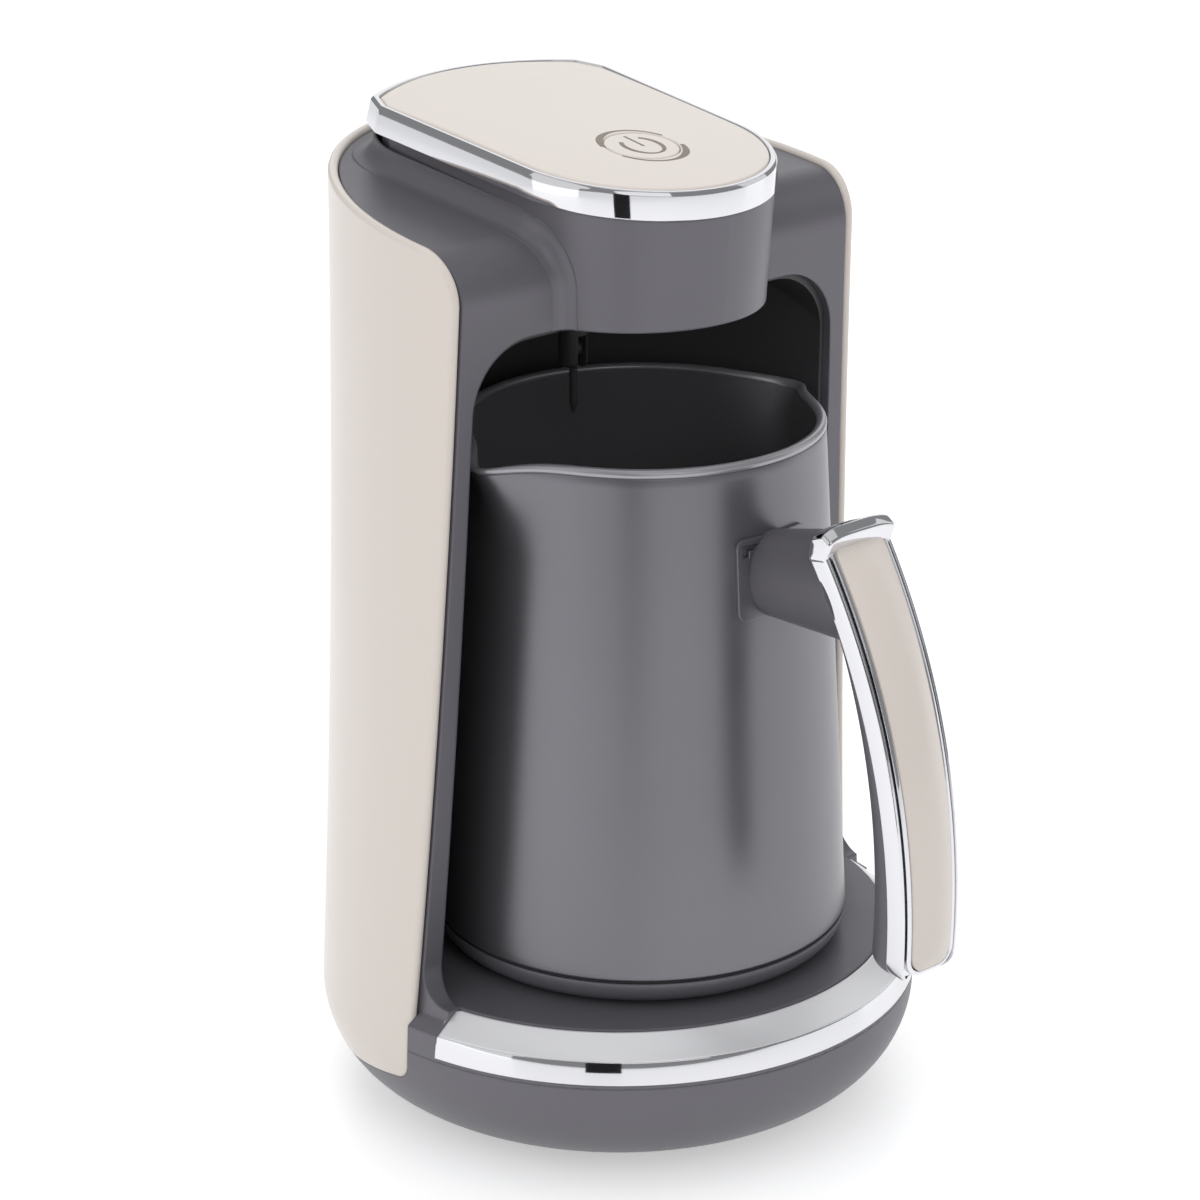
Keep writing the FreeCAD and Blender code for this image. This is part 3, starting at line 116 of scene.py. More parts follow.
@dataclass(frozen=True)
class Finish:
    """A surface as the maker would order it.

    Sizes of grain are in millimetres. `tone` shifts the colour slowly over the
    surface and `rough_spread` the gloss. `speck` is the contrast of the fine
    grain in the colour, and `edge` is the radius that catches light along sharp
    corners.
    """

    name: str
    colour: str
    roughness: float
    metallic: float = 0.0
    grain: float = 0.35
    grain_height: float = 0.01
    speck: float = 0.0
    tone: float = 0.03
    coat: float = 0.0
    coat_roughness: float = 0.1
    edge: float = 0.4
    specular: float = 0.5
    rough_spread: float = 0.04

    def build(self) -> bpy.types.Material:
        """Make the material: grain in the bump, slow drift in colour and gloss.

        Returns:
            The finished material.
        """
        material = bpy.data.materials.new(self.name)
        material.use_nodes = True
        tree = material.node_tree
        tree.nodes.clear()
        out = add_node(tree, "ShaderNodeOutputMaterial")
        place = add_node(tree, "ShaderNodeTexCoord").outputs["Object"]
        fine = add_node(tree, "ShaderNodeTexNoise", {}, {
            "Vector": place, "Scale": 1 / (self.grain * MM), "Detail": 2.0}).outputs["Fac"]
        slow = add_node(tree, "ShaderNodeTexNoise", {}, {
            "Vector": place, "Scale": DRIFT, "Detail": 3.0}).outputs["Fac"]
        base = linear(self.colour)
        dark = tuple(value * (1 - self.tone - self.speck) for value in base[:3]) + (1.0,)
        light = tuple(min(1.0, value * (1 + self.tone + self.speck)) for value in base[:3]) + (1.0,)
        total = self.tone + self.speck + 1e-6
        blend = add_node(tree, "ShaderNodeMix", {"data_type": "FLOAT"},
                         {0: self.speck / total, 2: slow, 3: fine}).outputs[0]
        colour = add_node(tree, "ShaderNodeMix", {"data_type": "RGBA"},
                          {0: blend, 6: dark, 7: light}).outputs[2]
        gloss = add_node(tree, "ShaderNodeMapRange", {}, {
            "Value": slow, "From Min": 0.3, "From Max": 0.7,
            "To Min": max(0.0, self.roughness - self.rough_spread),
            "To Max": self.roughness + self.rough_spread}).outputs[0]
        corner = add_node(tree, "ShaderNodeBevel", {"samples": 6}, {"Radius": self.edge * MM})
        bump = add_node(tree, "ShaderNodeBump", {}, {
            "Strength": 1.0, "Distance": self.grain_height * MM, "Height": fine,
            "Normal": corner.outputs["Normal"]})
        shader = add_node(tree, "ShaderNodeBsdfPrincipled", {}, {
            "Base Color": colour, "Roughness": gloss, "Metallic": self.metallic,
            "Normal": bump.outputs["Normal"], "Coat Weight": self.coat,
            "Coat Roughness": self.coat_roughness, "Specular IOR Level": self.specular})
        tree.links.new(shader.outputs[0], out.inputs["Surface"])
        return material


# Injection-moulded ABS with metal flake in it: dark warm grey with a soft sheen
GREY_ABS = Finish("Moulded_ABS_graphite", "716F75", 0.40, 0.35, grain=0.3, grain_height=0.006,
                  speck=0.05, tone=0.02, edge=0.8)
# Sprayed and baked lacquer on drawn aluminium: a finer, glossier grey than the housing
JUG_PAINT = Finish("Baked_lacquer_graphite", "7D7C81", 0.34, 0.75, grain=0.25, grain_height=0.004,
                   speck=0.06, tone=0.02, edge=0.4)
# Painted, clear-coated ABS panels in warm cream: even colour under a tight gloss
CREAM_LACQUER = Finish("Lacquered_ABS_cream", "E8DED5", 0.34, 0.0, grain=0.6, grain_height=0.002,
                       tone=0.008, coat=0.35, coat_roughness=0.12, edge=0.6)
# Chromium plated on polished ABS: mirror with a very slight waviness
CHROME = Finish("Plated_chromium", "DEDEE1", 0.045, 1.0, grain=9.0, grain_height=0.006, tone=0.0,
                edge=0.25, rough_spread=0.01)
# The same plating over a fine-blasted slope: silver with a soft, broad gleam
SATIN_CHROME = Finish("Satin_plated_chromium", "F2F2F4", 0.3, 0.45, grain=0.3, grain_height=0.002,
                      tone=0.01, edge=0.2, rough_spread=0.02)
# Moulded black PBT of the bay, satin, so that it shows soft grey sheens only; its colour is painted
# lighter as light that the shaded bay does not get
BLACK_PBT_PAINTED_LIGHT = Finish("Moulded_PBT_black_painted_light", "404042", 0.42, 0.0, grain=0.4, grain_height=0.006,
                   tone=0.04, edge=0.5)
# Sprayed PTFE lining of the jug: near black with a fine speckle, its colour painted lighter as
# light that the deep bowl does not get
NONSTICK_PAINTED_LIGHT = Finish("Sprayed_PTFE_black_painted_light", "606063", 0.38, 0.0, grain=0.5, grain_height=0.008,
                  speck=0.12, tone=0.04, edge=0.3)
# Rolled edge of the jug's drawn wall, in the jacket's grey paint: its paler, softly shining grey is
# a painted highlight along the rim
RIM_PAINTED_HIGHLIGHT = Finish("Rim_grey_paint_painted_highlight", "A9A8AD", 0.30, 0.6, grain=0.25, grain_height=0.003,
                   speck=0.03, edge=0.2)
# Moulded nitrile rubber: dull and slightly dusty
RUBBER = Finish("Moulded_nitrile_rubber", "232325", 0.75, 0.0, grain=0.5, grain_height=0.02,
                tone=0.06)
# Zinc-plated steel of the screws, the heater's tube and the fuse: bright and faintly clouded
ZINC = Finish("Zinc_plated_steel", "B9BABD", 0.32, 1.0, grain=0.4, grain_height=0.004, tone=0.05)
# Die-cast aluminium plate of the heater: pale metal with a coarse skin
CAST_ALUMINIUM = Finish("Cast_aluminium", "C4C5C7", 0.5, 1.0, grain=0.9, grain_height=0.03,
                        tone=0.06)
# Turned brass contacts: yellow metal with a tight gleam
BRASS = Finish("Turned_brass", "D8B873", 0.25, 1.0, grain=0.15, grain_height=0.002, tone=0.03)
# Glass-epoxy board under green solder resist: smooth, with the weave showing as a speckle
BOARD = Finish("Lacquered_glass_epoxy", "1F6B3A", 0.35, 0.0, grain=0.8, grain_height=0.01,
               speck=0.1)
# Milky polycarbonate of lamps, light guide and terminals: pale under an even gloss
MILKY_PC = Finish("Moulded_polycarbonate", "DAD6CC", 0.25, 0.0, grain=1.2, grain_height=0.002)
# Black moulded cases of relays and switches: dull and lightly speckled
EPOXY = Finish("Moulded_epoxy_black", "2A2A2C", 0.55, 0.0, grain=0.4, grain_height=0.02, speck=0.08)
# Pad-printed taupe ink of the power sign, slightly raised and satin
SIGN_INK = Finish("Printed_ink_taupe", "8E8276", 0.45, 0.2, grain=0.3, grain_height=0.004, edge=0.1)


# Mesh making


def to_frame(points: np.ndarray) -> np.ndarray:
    """Turn millimetres about the base's axis into metres in the common frame.

    Args:
        points: an array whose last axis is x, y, z.

    Returns:
        The moved and scaled array.
    """
    return (points + np.array([0.0, BASE_BACK, 0.0])) * MM


def grid_faces(rows: int, columns: int, start: int, close_rows: bool,
               close_columns: bool) -> np.ndarray:
    """Number the four corners of each face of a grid.

    Args:
        rows: points along the first axis.
        columns: points along the second axis.
        start: the number of the grid's first point.
        close_rows: join the last row to the first.
        close_columns: join the last column to the first.

    Returns:
        An array of faces, four numbers each.
    """
    row = np.arange(rows if close_rows else rows - 1)[:, None]
    column = np.arange(columns if close_columns else columns - 1)[None, :]
    row_next = (row + 1) % rows
    column_next = (column + 1) % columns
    quads = np.stack([row * columns + column, row_next * columns + column,
                      row_next * columns + column_next, row * columns + column_next], axis=-1)
    return quads.reshape(-1, 4) + start


@dataclass
class Patch:
    """One grid of points, with the ways in which it closes on itself."""

    points: np.ndarray
    close_rows: bool = False
    close_columns: bool = False


def make_mesh(name: str, patches: list[Patch], merge: float = 0.002) -> bpy.types.Mesh:
    """Join grids into one closed mesh whose faces look outwards.

    Args:
        name: the mesh's name.
        patches: grids in millimetres about the base's axis.
        merge: points nearer than this, in millimetres, become one.

    Returns:
        The mesh, in metres, smooth but for its sharp corners.
    """
    points, faces, start = [], [], 0
    for patch in patches:
        rows, columns = patch.points.shape[:2]
        points.append(to_frame(patch.points).reshape(-1, 3))
        faces.append(grid_faces(rows, columns, start, patch.close_rows, patch.close_columns))
        start += rows * columns
    mesh = bpy.data.meshes.new(name)
    mesh.from_pydata(np.concatenate(points), [], np.concatenate(faces))
    work = bmesh.new()
    work.from_mesh(mesh)
    bmesh.ops.remove_doubles(work, verts=work.verts, dist=merge * MM)
    bmesh.ops.dissolve_degenerate(work, edges=work.edges, dist=merge * MM * 0.5)
    bmesh.ops.recalc_face_normals(work, faces=work.faces)
    work.to_mesh(mesh)
    work.free()
    mesh.shade_smooth()
    mesh.set_sharp_from_angle(angle=SHARP)
    mesh.update()
    return mesh


class Workshop:
    """Makes the materials once, and puts pieces and finishes on the part."""

    def __init__(self) -> None:
        """Start with no material made."""
        self.made: dict[str, bpy.types.Material] = {}

    def material(self, finish: Finish) -> bpy.types.Material:
        """Give the material of a finish, made at its first use.

        Args:
            finish: the finish wanted.

        Returns:
            Its material.
        """
        if finish.name not in self.made:
            self.made[finish.name] = finish.build()
        return self.made[finish.name]

    def dress(self, finish: Finish, *nodes: str) -> None:
        """Give carried-over CAD nodes a finish.

        Args:
            finish: the finish.
            nodes: the names of the CAD nodes.
        """
        for name in nodes:
            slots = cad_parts[name].data.materials
            slots.clear()
            slots.append(self.material(finish))
            LOG.info("dressed %s in %s", name, finish.name)

    def piece(self, name: str, patches: list[Patch], finish: Finish, body: Body, slot: str,
              *stands_for: str) -> None:
        """Make a piece from grids and let it ride on its body.

        Args:
            name: the piece's name.
            patches: its grids in millimetres.
            finish: its finish.
            body: the body that it moves with.
            slot: the record's material slot; not used.
            stands_for: CAD nodes that it replaces.
        """
        piece = bpy.data.objects.new(name, make_mesh(name, patches))
        bpy.context.scene.collection.objects.link(piece)
        piece.data.materials.append(self.material(finish))
        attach(piece, body.value)
        if stands_for:
            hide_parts(*stands_for)
        LOG.info("made %s with %d faces", name, len(piece.data.polygons))


def unit(vectors: np.ndarray) -> np.ndarray:
    """Scale vectors along the last axis to a length of one."""
    return vectors / np.maximum(np.linalg.norm(vectors, axis=-1, keepdims=True), 1e-12)


def border_of(grid: np.ndarray) -> np.ndarray:
    """Walk once round the edge of a grid.

    Args:
        grid: points by row and column.

    Returns:
        The edge points in order, without repeating the first.
    """
    return np.concatenate([grid[:-1, 0], grid[-1, :-1], grid[:0:-1, -1], grid[0, :0:-1]])


def rounded_sheet(outer: np.ndarray, inner: np.ndarray, radius: float,
                  steps: int = 4) -> list[Patch]:
    """Close two facing grids into a plate whose rim is rounded on both corners.

    At each edge point the rim leaves the outer face along a quarter circle,
    runs down the plate's thickness and joins the inner face by another one. The
    grids stop `radius` short of the finished edge.

    Args:
        outer: the outer face.
        inner: the inner face, point for point under the outer one.
        radius: the corner's radius in millimetres.
        steps: points on each quarter circle.

    Returns:
        The outer face, the inner face and the rim.
    """
    top, under, inside = border_of(outer), border_of(inner), border_of_inside(outer)
    down = unit(under - top)
    along = np.roll(top, -1, axis=0) - np.roll(top, 1, axis=0)
    away = unit(np.cross(along, down))
    away *= np.sign(np.sum(away * (top - inside)))
    turn = np.linspace(0, np.pi / 2, steps)[:, None, None]
    upper = top + away * radius * np.sin(turn) + down * radius * (1 - np.cos(turn))
    lower = under + away * radius * np.sin(turn) - down * radius * (1 - np.cos(turn))
    rim = np.concatenate([upper, lower[::-1]])
    return [Patch(outer), Patch(inner), Patch(rim, close_columns=True)]


def border_of_inside(grid: np.ndarray) -> np.ndarray:
    """Give, for each edge point of a grid, its neighbour one step further in.

    Args:
        grid: points by row and column.

    Returns:
        The neighbours, in the order in which the edge is walked.
    """
    rows, columns = grid.shape[:2]
    row = np.clip(np.arange(rows), 1, rows - 2)[:, None]
    column = np.clip(np.arange(columns), 1, columns - 2)[None, :]
    return border_of(grid[row, column])


def round_corners(corners: list[tuple[float, float, float]], steps: int = 5) -> np.ndarray:
    """Draw a closed outline with rounded corners.

    Each corner gives x, y and a radius. Its arc leaves and meets the two sides
    at the radius over the tangent of half the corner's angle.

    Args:
        corners: the corners in order.
        steps: points on each arc.

    Returns:
        The outline's points.
    """
    spots = np.array([corner[:2] for corner in corners], float)
    outline = []
    for place, (x, y, radius) in enumerate(corners):
        here = np.array([x, y])
        before = unit(spots[place - 1] - here)
        after = unit(spots[(place + 1) % len(spots)] - here)
        if radius <= 0:
            outline.append(here[None])
            continue
        half = np.arccos(np.clip(np.dot(before, after), -1, 1)) / 2
        centre = here + unit(before + after) * radius / np.sin(half)
        start = here + before * radius / np.tan(half)
        stop = here + after * radius / np.tan(half)
        begin = np.arctan2(*(start - centre)[::-1])
        swing = (np.arctan2(*(stop - centre)[::-1]) - begin + np.pi) % (2 * np.pi) - np.pi
        angle = begin + np.linspace(0, swing, steps)
        outline.append(centre + radius * np.stack([np.cos(angle), np.sin(angle)], -1))
    return np.concatenate(outline)


def halve(gap: Callable[[np.ndarray], np.ndarray], low: np.ndarray, high: np.ndarray,
          rounds: int = 40) -> np.ndarray:
    """Find where a rising function crosses zero by halving the interval.

    Args:
        gap: the function, negative at `low` and positive at `high`.
        low: lower ends.
        high: upper ends.
        rounds: how often the interval is halved.

    Returns:
        The crossings.
    """
    for _ in range(rounds):
        middle = (low + high) / 2
        below = gap(middle) < 0
        low, high = np.where(below, middle, low), np.where(below, high, middle)
    return (low + high) / 2


def even_ring(path: np.ndarray, count: int) -> np.ndarray:
    """Space points evenly along a closed path.

    Args:
        path: the path's points, without repeating the first.
        count: points wanted.

    Returns:
        The evenly spaced points.
    """
    closed = np.concatenate([path, path[:1]])
    walked = np.concatenate([[0], np.cumsum(np.linalg.norm(np.diff(closed, axis=0), axis=-1))])
    marks = np.linspace(0, walked[-1], count, endpoint=False)
    return np.stack([np.interp(marks, walked, along) for along in closed.T], -1)


def caps(tube: np.ndarray) -> list[Patch]:
    """Close both ends of a tube to the middle of its end rings.

    Args:
        tube: the tube's points, ring by ring.

    Returns:
        The two end faces.
    """
    return [Patch(np.stack([ring, np.broadcast_to(ring.mean(0), ring.shape)]), False, True)
            for ring in (tube[0], tube[-1])]


def round_centre(level: float, slope: float, radius: float) -> tuple[float, float]:
    """Find the centre of the round between a sloping edge and the leaning front edge.

    It is where z = level + slope * y crosses the front edge moved in by the radius.

    Args:
        level: height at the base's axis of the sloping edge moved in by the radius.
        slope: that edge's rise towards the back.
        radius: the round's radius.

    Returns:
        The centre's y and z.
    """
    lean = math.tan(LEAN)
    centre_y = (-FRONT_OFFSET + radius / math.cos(LEAN) - lean * level) / (1 + lean * slope)
    return centre_y, level + slope * centre_y


# The pieces


@dataclass
class WrapShell:
    """The cream panel that wraps the back and both sides of the housing."""

    base_radius: float = 72.0
    bowl_round: float = 23.0
    foot: float = 3.0
    top_half: float = 61.8
    top: float = 242.0
    wall: float = 2.4
    edge: float = 1.1
    shoulder: float = 217.8
    shoulder_round: float = 12.0
    low_front: float = 19.0
    low_back: float = 9.0
    low_drop: float = math.radians(11.3)
    low_round: float = 5.0
    flare: float = 1.8
    low_search: tuple[float, float] = (4.0, 120.0)
    high_search: tuple[float, float] = (150.0, 240.0)
    columns: int = 181
    rows: int = 90

    def half_depth(self, height: np.ndarray, inset: float) -> np.ndarray:
        """Give the wall's half depth: a quarter round in the bowl, then upright.

        With c the radius less the bowl's round r, it is c + sqrt((r - inset)^2 -
        drop^2) at a drop below the round's centre.

        Args:
            height: heights above the table.
            inset: distance inside the outer face.

        Returns:
            The half depths.
        """
        centre = self.foot + self.bowl_round
        drop = np.clip(centre - height, 0, self.bowl_round - inset - 0.01)
        round_reach = np.sqrt((self.bowl_round - inset) ** 2 - drop ** 2)
        bowl = self.base_radius - self.bowl_round + round_reach
        return np.where(height < centre, bowl, self.base_radius - inset)

    def half_width(self, height: np.ndarray, inset: float) -> np.ndarray:
        """Give the wall's half width, which falls from base to top.

        Above the bowl it is the top's half width plus the base's surplus times
        the share of the way down to the power of `flare`.

        Args:
            height: heights above the table.
            inset: distance inside the outer face.

        Returns:
            The half widths.
        """
        centre = self.foot + self.bowl_round
        share = np.clip((self.top - height) / (self.top - centre), 0, 1)
        wide = self.top_half + (self.base_radius - self.top_half) * share ** self.flare - inset
        return np.where(height < centre, self.half_depth(height, inset), wide)

    def front(self, height: np.ndarray, trim: float) -> np.ndarray:
        """Give the y of the panel's front edge, which leans forward as it rises."""
        return -(FRONT_OFFSET + math.tan(LEAN) * height) + trim / math.cos(LEAN)

    def top_limit(self, y: np.ndarray, trim: float) -> np.ndarray:
        """Give the upper edge: a line that rises to the back, rounded at its front corner.

        Args:
            y: places from front to back.
            trim: distance inside the finished edge.

        Returns:
            The edge's heights.
        """
        slope, square = math.tan(TILT), math.cos(TILT)
        centre_y, centre_z = round_centre(self.shoulder - self.shoulder_round / square, slope,
                                          self.shoulder_round)
        radius = self.shoulder_round - trim
        arc = centre_z + np.sqrt(np.clip(radius ** 2 - (y - centre_y) ** 2, 0, None))
        line = self.shoulder - trim / square + slope * y
        return np.where(y < centre_y - radius * math.sin(TILT), arc, line)

    def low_limit(self, y: np.ndarray, trim: float) -> np.ndarray:
        """Give the lower edge: a line that falls to the back, rounded at its front corner.

        Args:
            y: places from front to back.
            trim: distance inside the finished edge.

        Returns:
            The edge's heights.
        """
        slope, square = math.tan(self.low_drop), math.cos(self.low_drop)
        centre_y, centre_z = round_centre(self.low_front + self.low_round / square, -slope,
                                          self.low_round)
        radius = self.low_round - trim
        arc = centre_z - np.sqrt(np.clip(radius ** 2 - (y - centre_y) ** 2, 0, None))
        line = np.maximum(self.low_front - slope * y, self.low_back) + trim / square
        return np.where(y < centre_y - radius * math.sin(self.low_drop), arc, line)

    def face(self, inset: float) -> np.ndarray:
        """Give one face of the panel, short of the finished edge by its rounding.

        Columns run from the right front edge round the back to the left one and
        lie closer together towards both edges. Each column's lower and upper end
        is where it crosses the panel's edge line, found by halving the interval.

        Args:
            inset: distance inside the outer face.

        Returns:
            The grid of points.
        """
        side = np.sin(np.linspace(-1, 1, self.columns) * np.pi / 2)[:, None]

        def angle(height: np.ndarray) -> np.ndarray:
            """Turn each column: half a turn plus its share of the way to the front edge."""
            edge = np.clip(-self.front(height, self.edge) / self.half_depth(height, inset), -1, 1)
            return np.pi + side * (np.pi - np.arccos(edge))

        def depth(height: np.ndarray) -> np.ndarray:
            """Give each column's y: minus the half depth times the cosine of its angle."""
            return -self.half_depth(height, inset) * np.cos(angle(height))

        def crossing(limit: Callable[[np.ndarray, float], np.ndarray],
                     search: tuple[float, float]) -> np.ndarray:
            """Find where each column crosses an edge line between two heights."""
            return halve(lambda height: height - limit(depth(height), self.edge),
                         np.full_like(side, search[0]), np.full_like(side, search[1]))

        low = crossing(self.low_limit, self.low_search)
        high = crossing(self.top_limit, self.high_search)
        share = (1 - np.cos(np.linspace(0, np.pi, self.rows)))[None, :] / 2
        height = low + (high - low) * share
        turn = angle(height)
        return np.stack([self.half_width(height, inset) * np.sin(turn),
                         -self.half_depth(height, inset) * np.cos(turn), height], -1)

    def build(self, shop: Workshop) -> None:
        """Make the panel and put it on the housing."""
        patches = rounded_sheet(self.face(0.0), self.face(self.wall), self.edge)
        shop.piece("cream_wrap", patches, CREAM_LACQUER, Body.HOUSING, "cream_panel", "wrap_shell")


@dataclass
class Head:
    """The head's band, plate, button and printed sign, drawn on the tilted plane of its top.

    A point (x, along, up) of that plane stands `along` behind the base's axis,
    measured up the slope, and `up` above the plane along its normal.
    """

    crest: float = 231.0
    nose_radius: float = 33.0
    nose_centre: float = -4.0
    flank_half: float = 34.4
    flank: float = 43.6
    corner: float = 51.2
    corner_half: float = 31.0
    corner_share: float = 0.7
    flank_share: float = 0.3
    rear: float = 59.5
    band_proud: float = 0.9
    band_height: float = 6.4
    rim: float = 1.5
    plate_gap: float = 0.15
    dome: float = 1.1
    dome_sink: float = 0.47
    crown_half: float = 46.0
    crown_length: float = 64.0
    plate_thickness: float = 2.4
    plate_inward: tuple[float, ...] = (0.0, 0.0, 0.12, 0.35, 0.7)
    plate_fall: tuple[float, ...] = (-0.7, -0.32, -0.1, 0.0)
    hole_flare: tuple[float, ...] = (0.035, 0.012, 0.0)
    hole_fall: tuple[float, ...] = (0.0, -0.08, -0.35)
    button_radius: float = 8.6
    button_gap: float = 0.2
    button_along: float = -7.5
    button_depth: float = 5.0
    sign_aside: float = 0.3
    sign_steps: int = 60
    crescent: tuple[float, float] = (9.3, 10.4)
    ring: tuple[float, float] = (4.4, 5.4)
    ring_turn: tuple[float, float] = (135.0, 415.0)
    ring_steps: int = 70
    columns: int = 640

    def lift(self, points: np.ndarray) -> np.ndarray:
        """Stand points of the tilted plane up in the part.

        Args:
            points: an array whose last axis is x, along, up.

        Returns:
            The array as x, y, z, turned by the tilt and raised to the crest.
        """
        x, along, up = points[..., 0], points[..., 1], points[..., 2]
        return np.stack([x, along * math.cos(TILT) - up * math.sin(TILT),
                         self.crest + along * math.sin(TILT) + up * math.cos(TILT)], -1)

    def outline(self, inset: float = 0.0, soften: int = 1) -> tuple[np.ndarray, np.ndarray]:
        """Draw the head's outline and its outward normals.

        A half circle forms the nose. Straight flanks run back to faceted corners,
        which a shallow arch joins: a circle of radius (half^2 + rise^2) / 2 rise.
        A corner moves in by a share of the inset, so that all sides keep their
        distance. A running mean softens the corners.

        Args:
            inset: distance inside the head's own outline.
            soften: half the width of the running mean, in points.

        Returns:
            The points and the normals, two numbers each.
        """
        nose = np.linspace(0, -np.pi, 90)
        nose_radius = self.nose_radius - inset
        front = np.stack([nose_radius * np.cos(nose),
                          self.nose_centre + nose_radius * np.sin(nose)], -1)
        rise = self.rear - self.corner
        half = self.corner_half - self.corner_share * inset
        radius = (half ** 2 + rise ** 2) / (2 * rise)
        reach = math.asin(half / radius)
        back = np.linspace(-reach, reach, 50)
        arch = np.stack([radius * np.sin(back),
                         self.rear - inset - radius * (1 - np.cos(back))], -1)
        flank = np.array([[self.flank_half - inset, self.flank - self.flank_share * inset]])
        path = np.concatenate([front, flank * np.array([-1, 1]), arch, flank])
        path = even_ring(path, self.columns)
        kernel = np.ones(2 * soften + 1) / (2 * soften + 1)
        wrapped = np.concatenate([path[-soften:], path, path[:soften]])
        path = np.stack([np.convolve(wrapped[:, axis], kernel, "valid") for axis in (0, 1)], -1)
        along = np.roll(path, -1, axis=0) - np.roll(path, 1, axis=0)
        normal = unit(np.stack([-along[:, 1], along[:, 0]], -1))
        return path, normal

    def surface(self, x: np.ndarray, along: np.ndarray) -> np.ndarray:
        """Give the plate's crowned height, which falls with the squares of both reaches.

        Args:
            x: distances from the middle plane.
            along: distances behind the base's axis, up the slope.

        Returns:
            The heights above the tilted plane.
        """
        middle = (self.nose_centre - self.nose_radius + self.rear) / 2
        fall = (x / self.crown_half) ** 2 + ((along - middle) / self.crown_length) ** 2
        return self.dome * (1 - fall) - self.dome_sink

    def band(self, shop: Workshop) -> None:
        """Make the chrome band, with a polished chamfer along its top.

        Each point of the profile is a distance out from the outline, a height and
        the corner's radius; the outline at that distance carries it round.

        Args:
            shop: where the piece is made.
        """
        profile = round_corners([(self.band_proud, -self.band_height, 0.25), (0.1, -0.9, 0.3),
                                 (-0.45, -0.05, 0.25), (-self.rim, -0.05, 0.25),
                                 (-self.rim - 0.5, -self.band_height, 0.2)], 4)
        rings = np.stack([self.outline(-away)[0] for away in profile[:, 0]], 1)
        rise = np.broadcast_to(profile[None, :, 1:], (self.columns, len(profile), 1))
        points = np.concatenate([rings, rise], -1)
        shop.piece("chrome_head_band", [Patch(self.lift(points), True, True)], CHROME, Body.HOUSING,
                   "chrome_trim", "chrome_band")

    def plate(self, shop: Workshop) -> None:
        """Make the crowned plate with its rounded edge and the button's hole.

        Rings run from the outline to the hole, each point on a straight line
        between the two; the crown lifts them, and the edges fall by set steps.

        Args:
            shop: where the piece is made.
        """
        inward = np.array(self.plate_inward) + self.rim + self.plate_gap
        border = np.stack([self.outline(inset)[0] for inset in inward])
        centre = np.array([0.0, self.button_along])
        turn = np.arctan2(border[-1, :, 1] - centre[1], border[-1, :, 0] - centre[0])
        hole = self.button_radius + self.button_gap
        ring = centre + hole * np.stack([np.cos(turn), np.sin(turn)], -1)
        share = np.linspace(0, 1, 50)[1:-1, None, None]
        field_rows = border[-1] * (1 - share) + ring * share
        lip = centre + (ring - centre) * (1 + np.array(self.hole_flare)[:, None, None])
        flat = np.concatenate([border, field_rows, lip, ring[None]])
        under = [-self.plate_thickness]
        drop = np.concatenate([under, self.plate_fall, np.zeros(len(share)), self.hole_fall, under])
        up = self.surface(flat[..., 0], flat[..., 1])
        up = np.where((drop <= -self.plate_thickness)[:, None], drop[:, None], up + drop[:, None])
        points = np.concatenate([flat, up[..., None]], -1)
        shop.piece("cream_top_plate", [Patch(self.lift(points), True, True)], CREAM_LACQUER,
                   Body.HOUSING, "cream_panel", "top_plate")

    def button(self, shop: Workshop) -> None:
        """Make the button's cap, which carries on the plate's crown.

        Its section runs from the middle of the underside round the edge to the
        middle of the top, as a reach from the cap's axis and a drop from the crown.

        Args:
            shop: where the piece is made.
        """
        turn = np.linspace(0, 2 * np.pi, 96, endpoint=False)[None]
        reach = np.concatenate([[0.001, self.button_radius - 0.2], [self.button_radius] * 2,
                                [self.button_radius - 0.1, self.button_radius - 0.35],
                                np.linspace(self.button_radius - 0.8, 0.001, 12)])[:, None]
        drop = np.concatenate([[-self.button_depth] * 2, [-self.button_depth + 0.2, -0.35, -0.1],
                               np.zeros(13)])[:, None]
        x, along = reach * np.cos(turn), self.button_along + reach * np.sin(turn)
        up = np.where(drop < -1, drop, self.surface(x, along) + drop)
        points = np.stack([x, along, up], -1)
        shop.piece("cream_power_button", [Patch(self.lift(points), False, True)], CREAM_LACQUER,
                   Body.BUTTON, "cream_panel", "power_button")

    def stroke(self, middle: np.ndarray, half: np.ndarray) -> Patch:
        """Print one tapering stroke on the plate.

        Args:
            middle: the stroke's middle line.
            half: half its width at each point.

        Returns:
            A thin raised ridge whose ends close to a point.
        """
        along = unit(np.gradient(middle, axis=0))
        across = np.stack([-along[:, 1], along[:, 0]], -1)
        width = np.concatenate([[0.0], half, [0.0]])[:, None, None]
        line = np.concatenate([middle[:1], middle, middle[-1:]])[:, None]
        side = np.concatenate([across[:1], across, across[-1:]])[:, None]
        profile = np.array([[-1, -0.3], [-1, 0.02], [-0.8, 0.05],
                            [0.8, 0.05], [1, 0.02], [1, -0.3]])
        flat = line + side * width * profile[None, :, :1]
        up = self.surface(flat[..., 0], flat[..., 1]) + profile[None, :, 1]
        return Patch(self.lift(np.concatenate([flat, up[..., None]], -1)), False, True)

    def sign(self, shop: Workshop) -> None:
        """Print the power sign on the button and two crescents round it.

        The strokes follow ovals that are longer from front to back. A crescent's
        half width is a bell curve, widest at 0.22 of its way, over a hair line.
        The ring's grows with the cosine of its turn.

        Args:
            shop: where the pieces are made.
        """
        centre = np.array([self.sign_aside, self.button_along])

        def oval(half: tuple[float, float], turn: np.ndarray) -> np.ndarray:
            """Draw half[0] * cos(turn) across and half[1] * sin(turn) along."""
            return centre + np.stack([half[0] * np.cos(turn), half[1] * np.sin(turn)], -1)

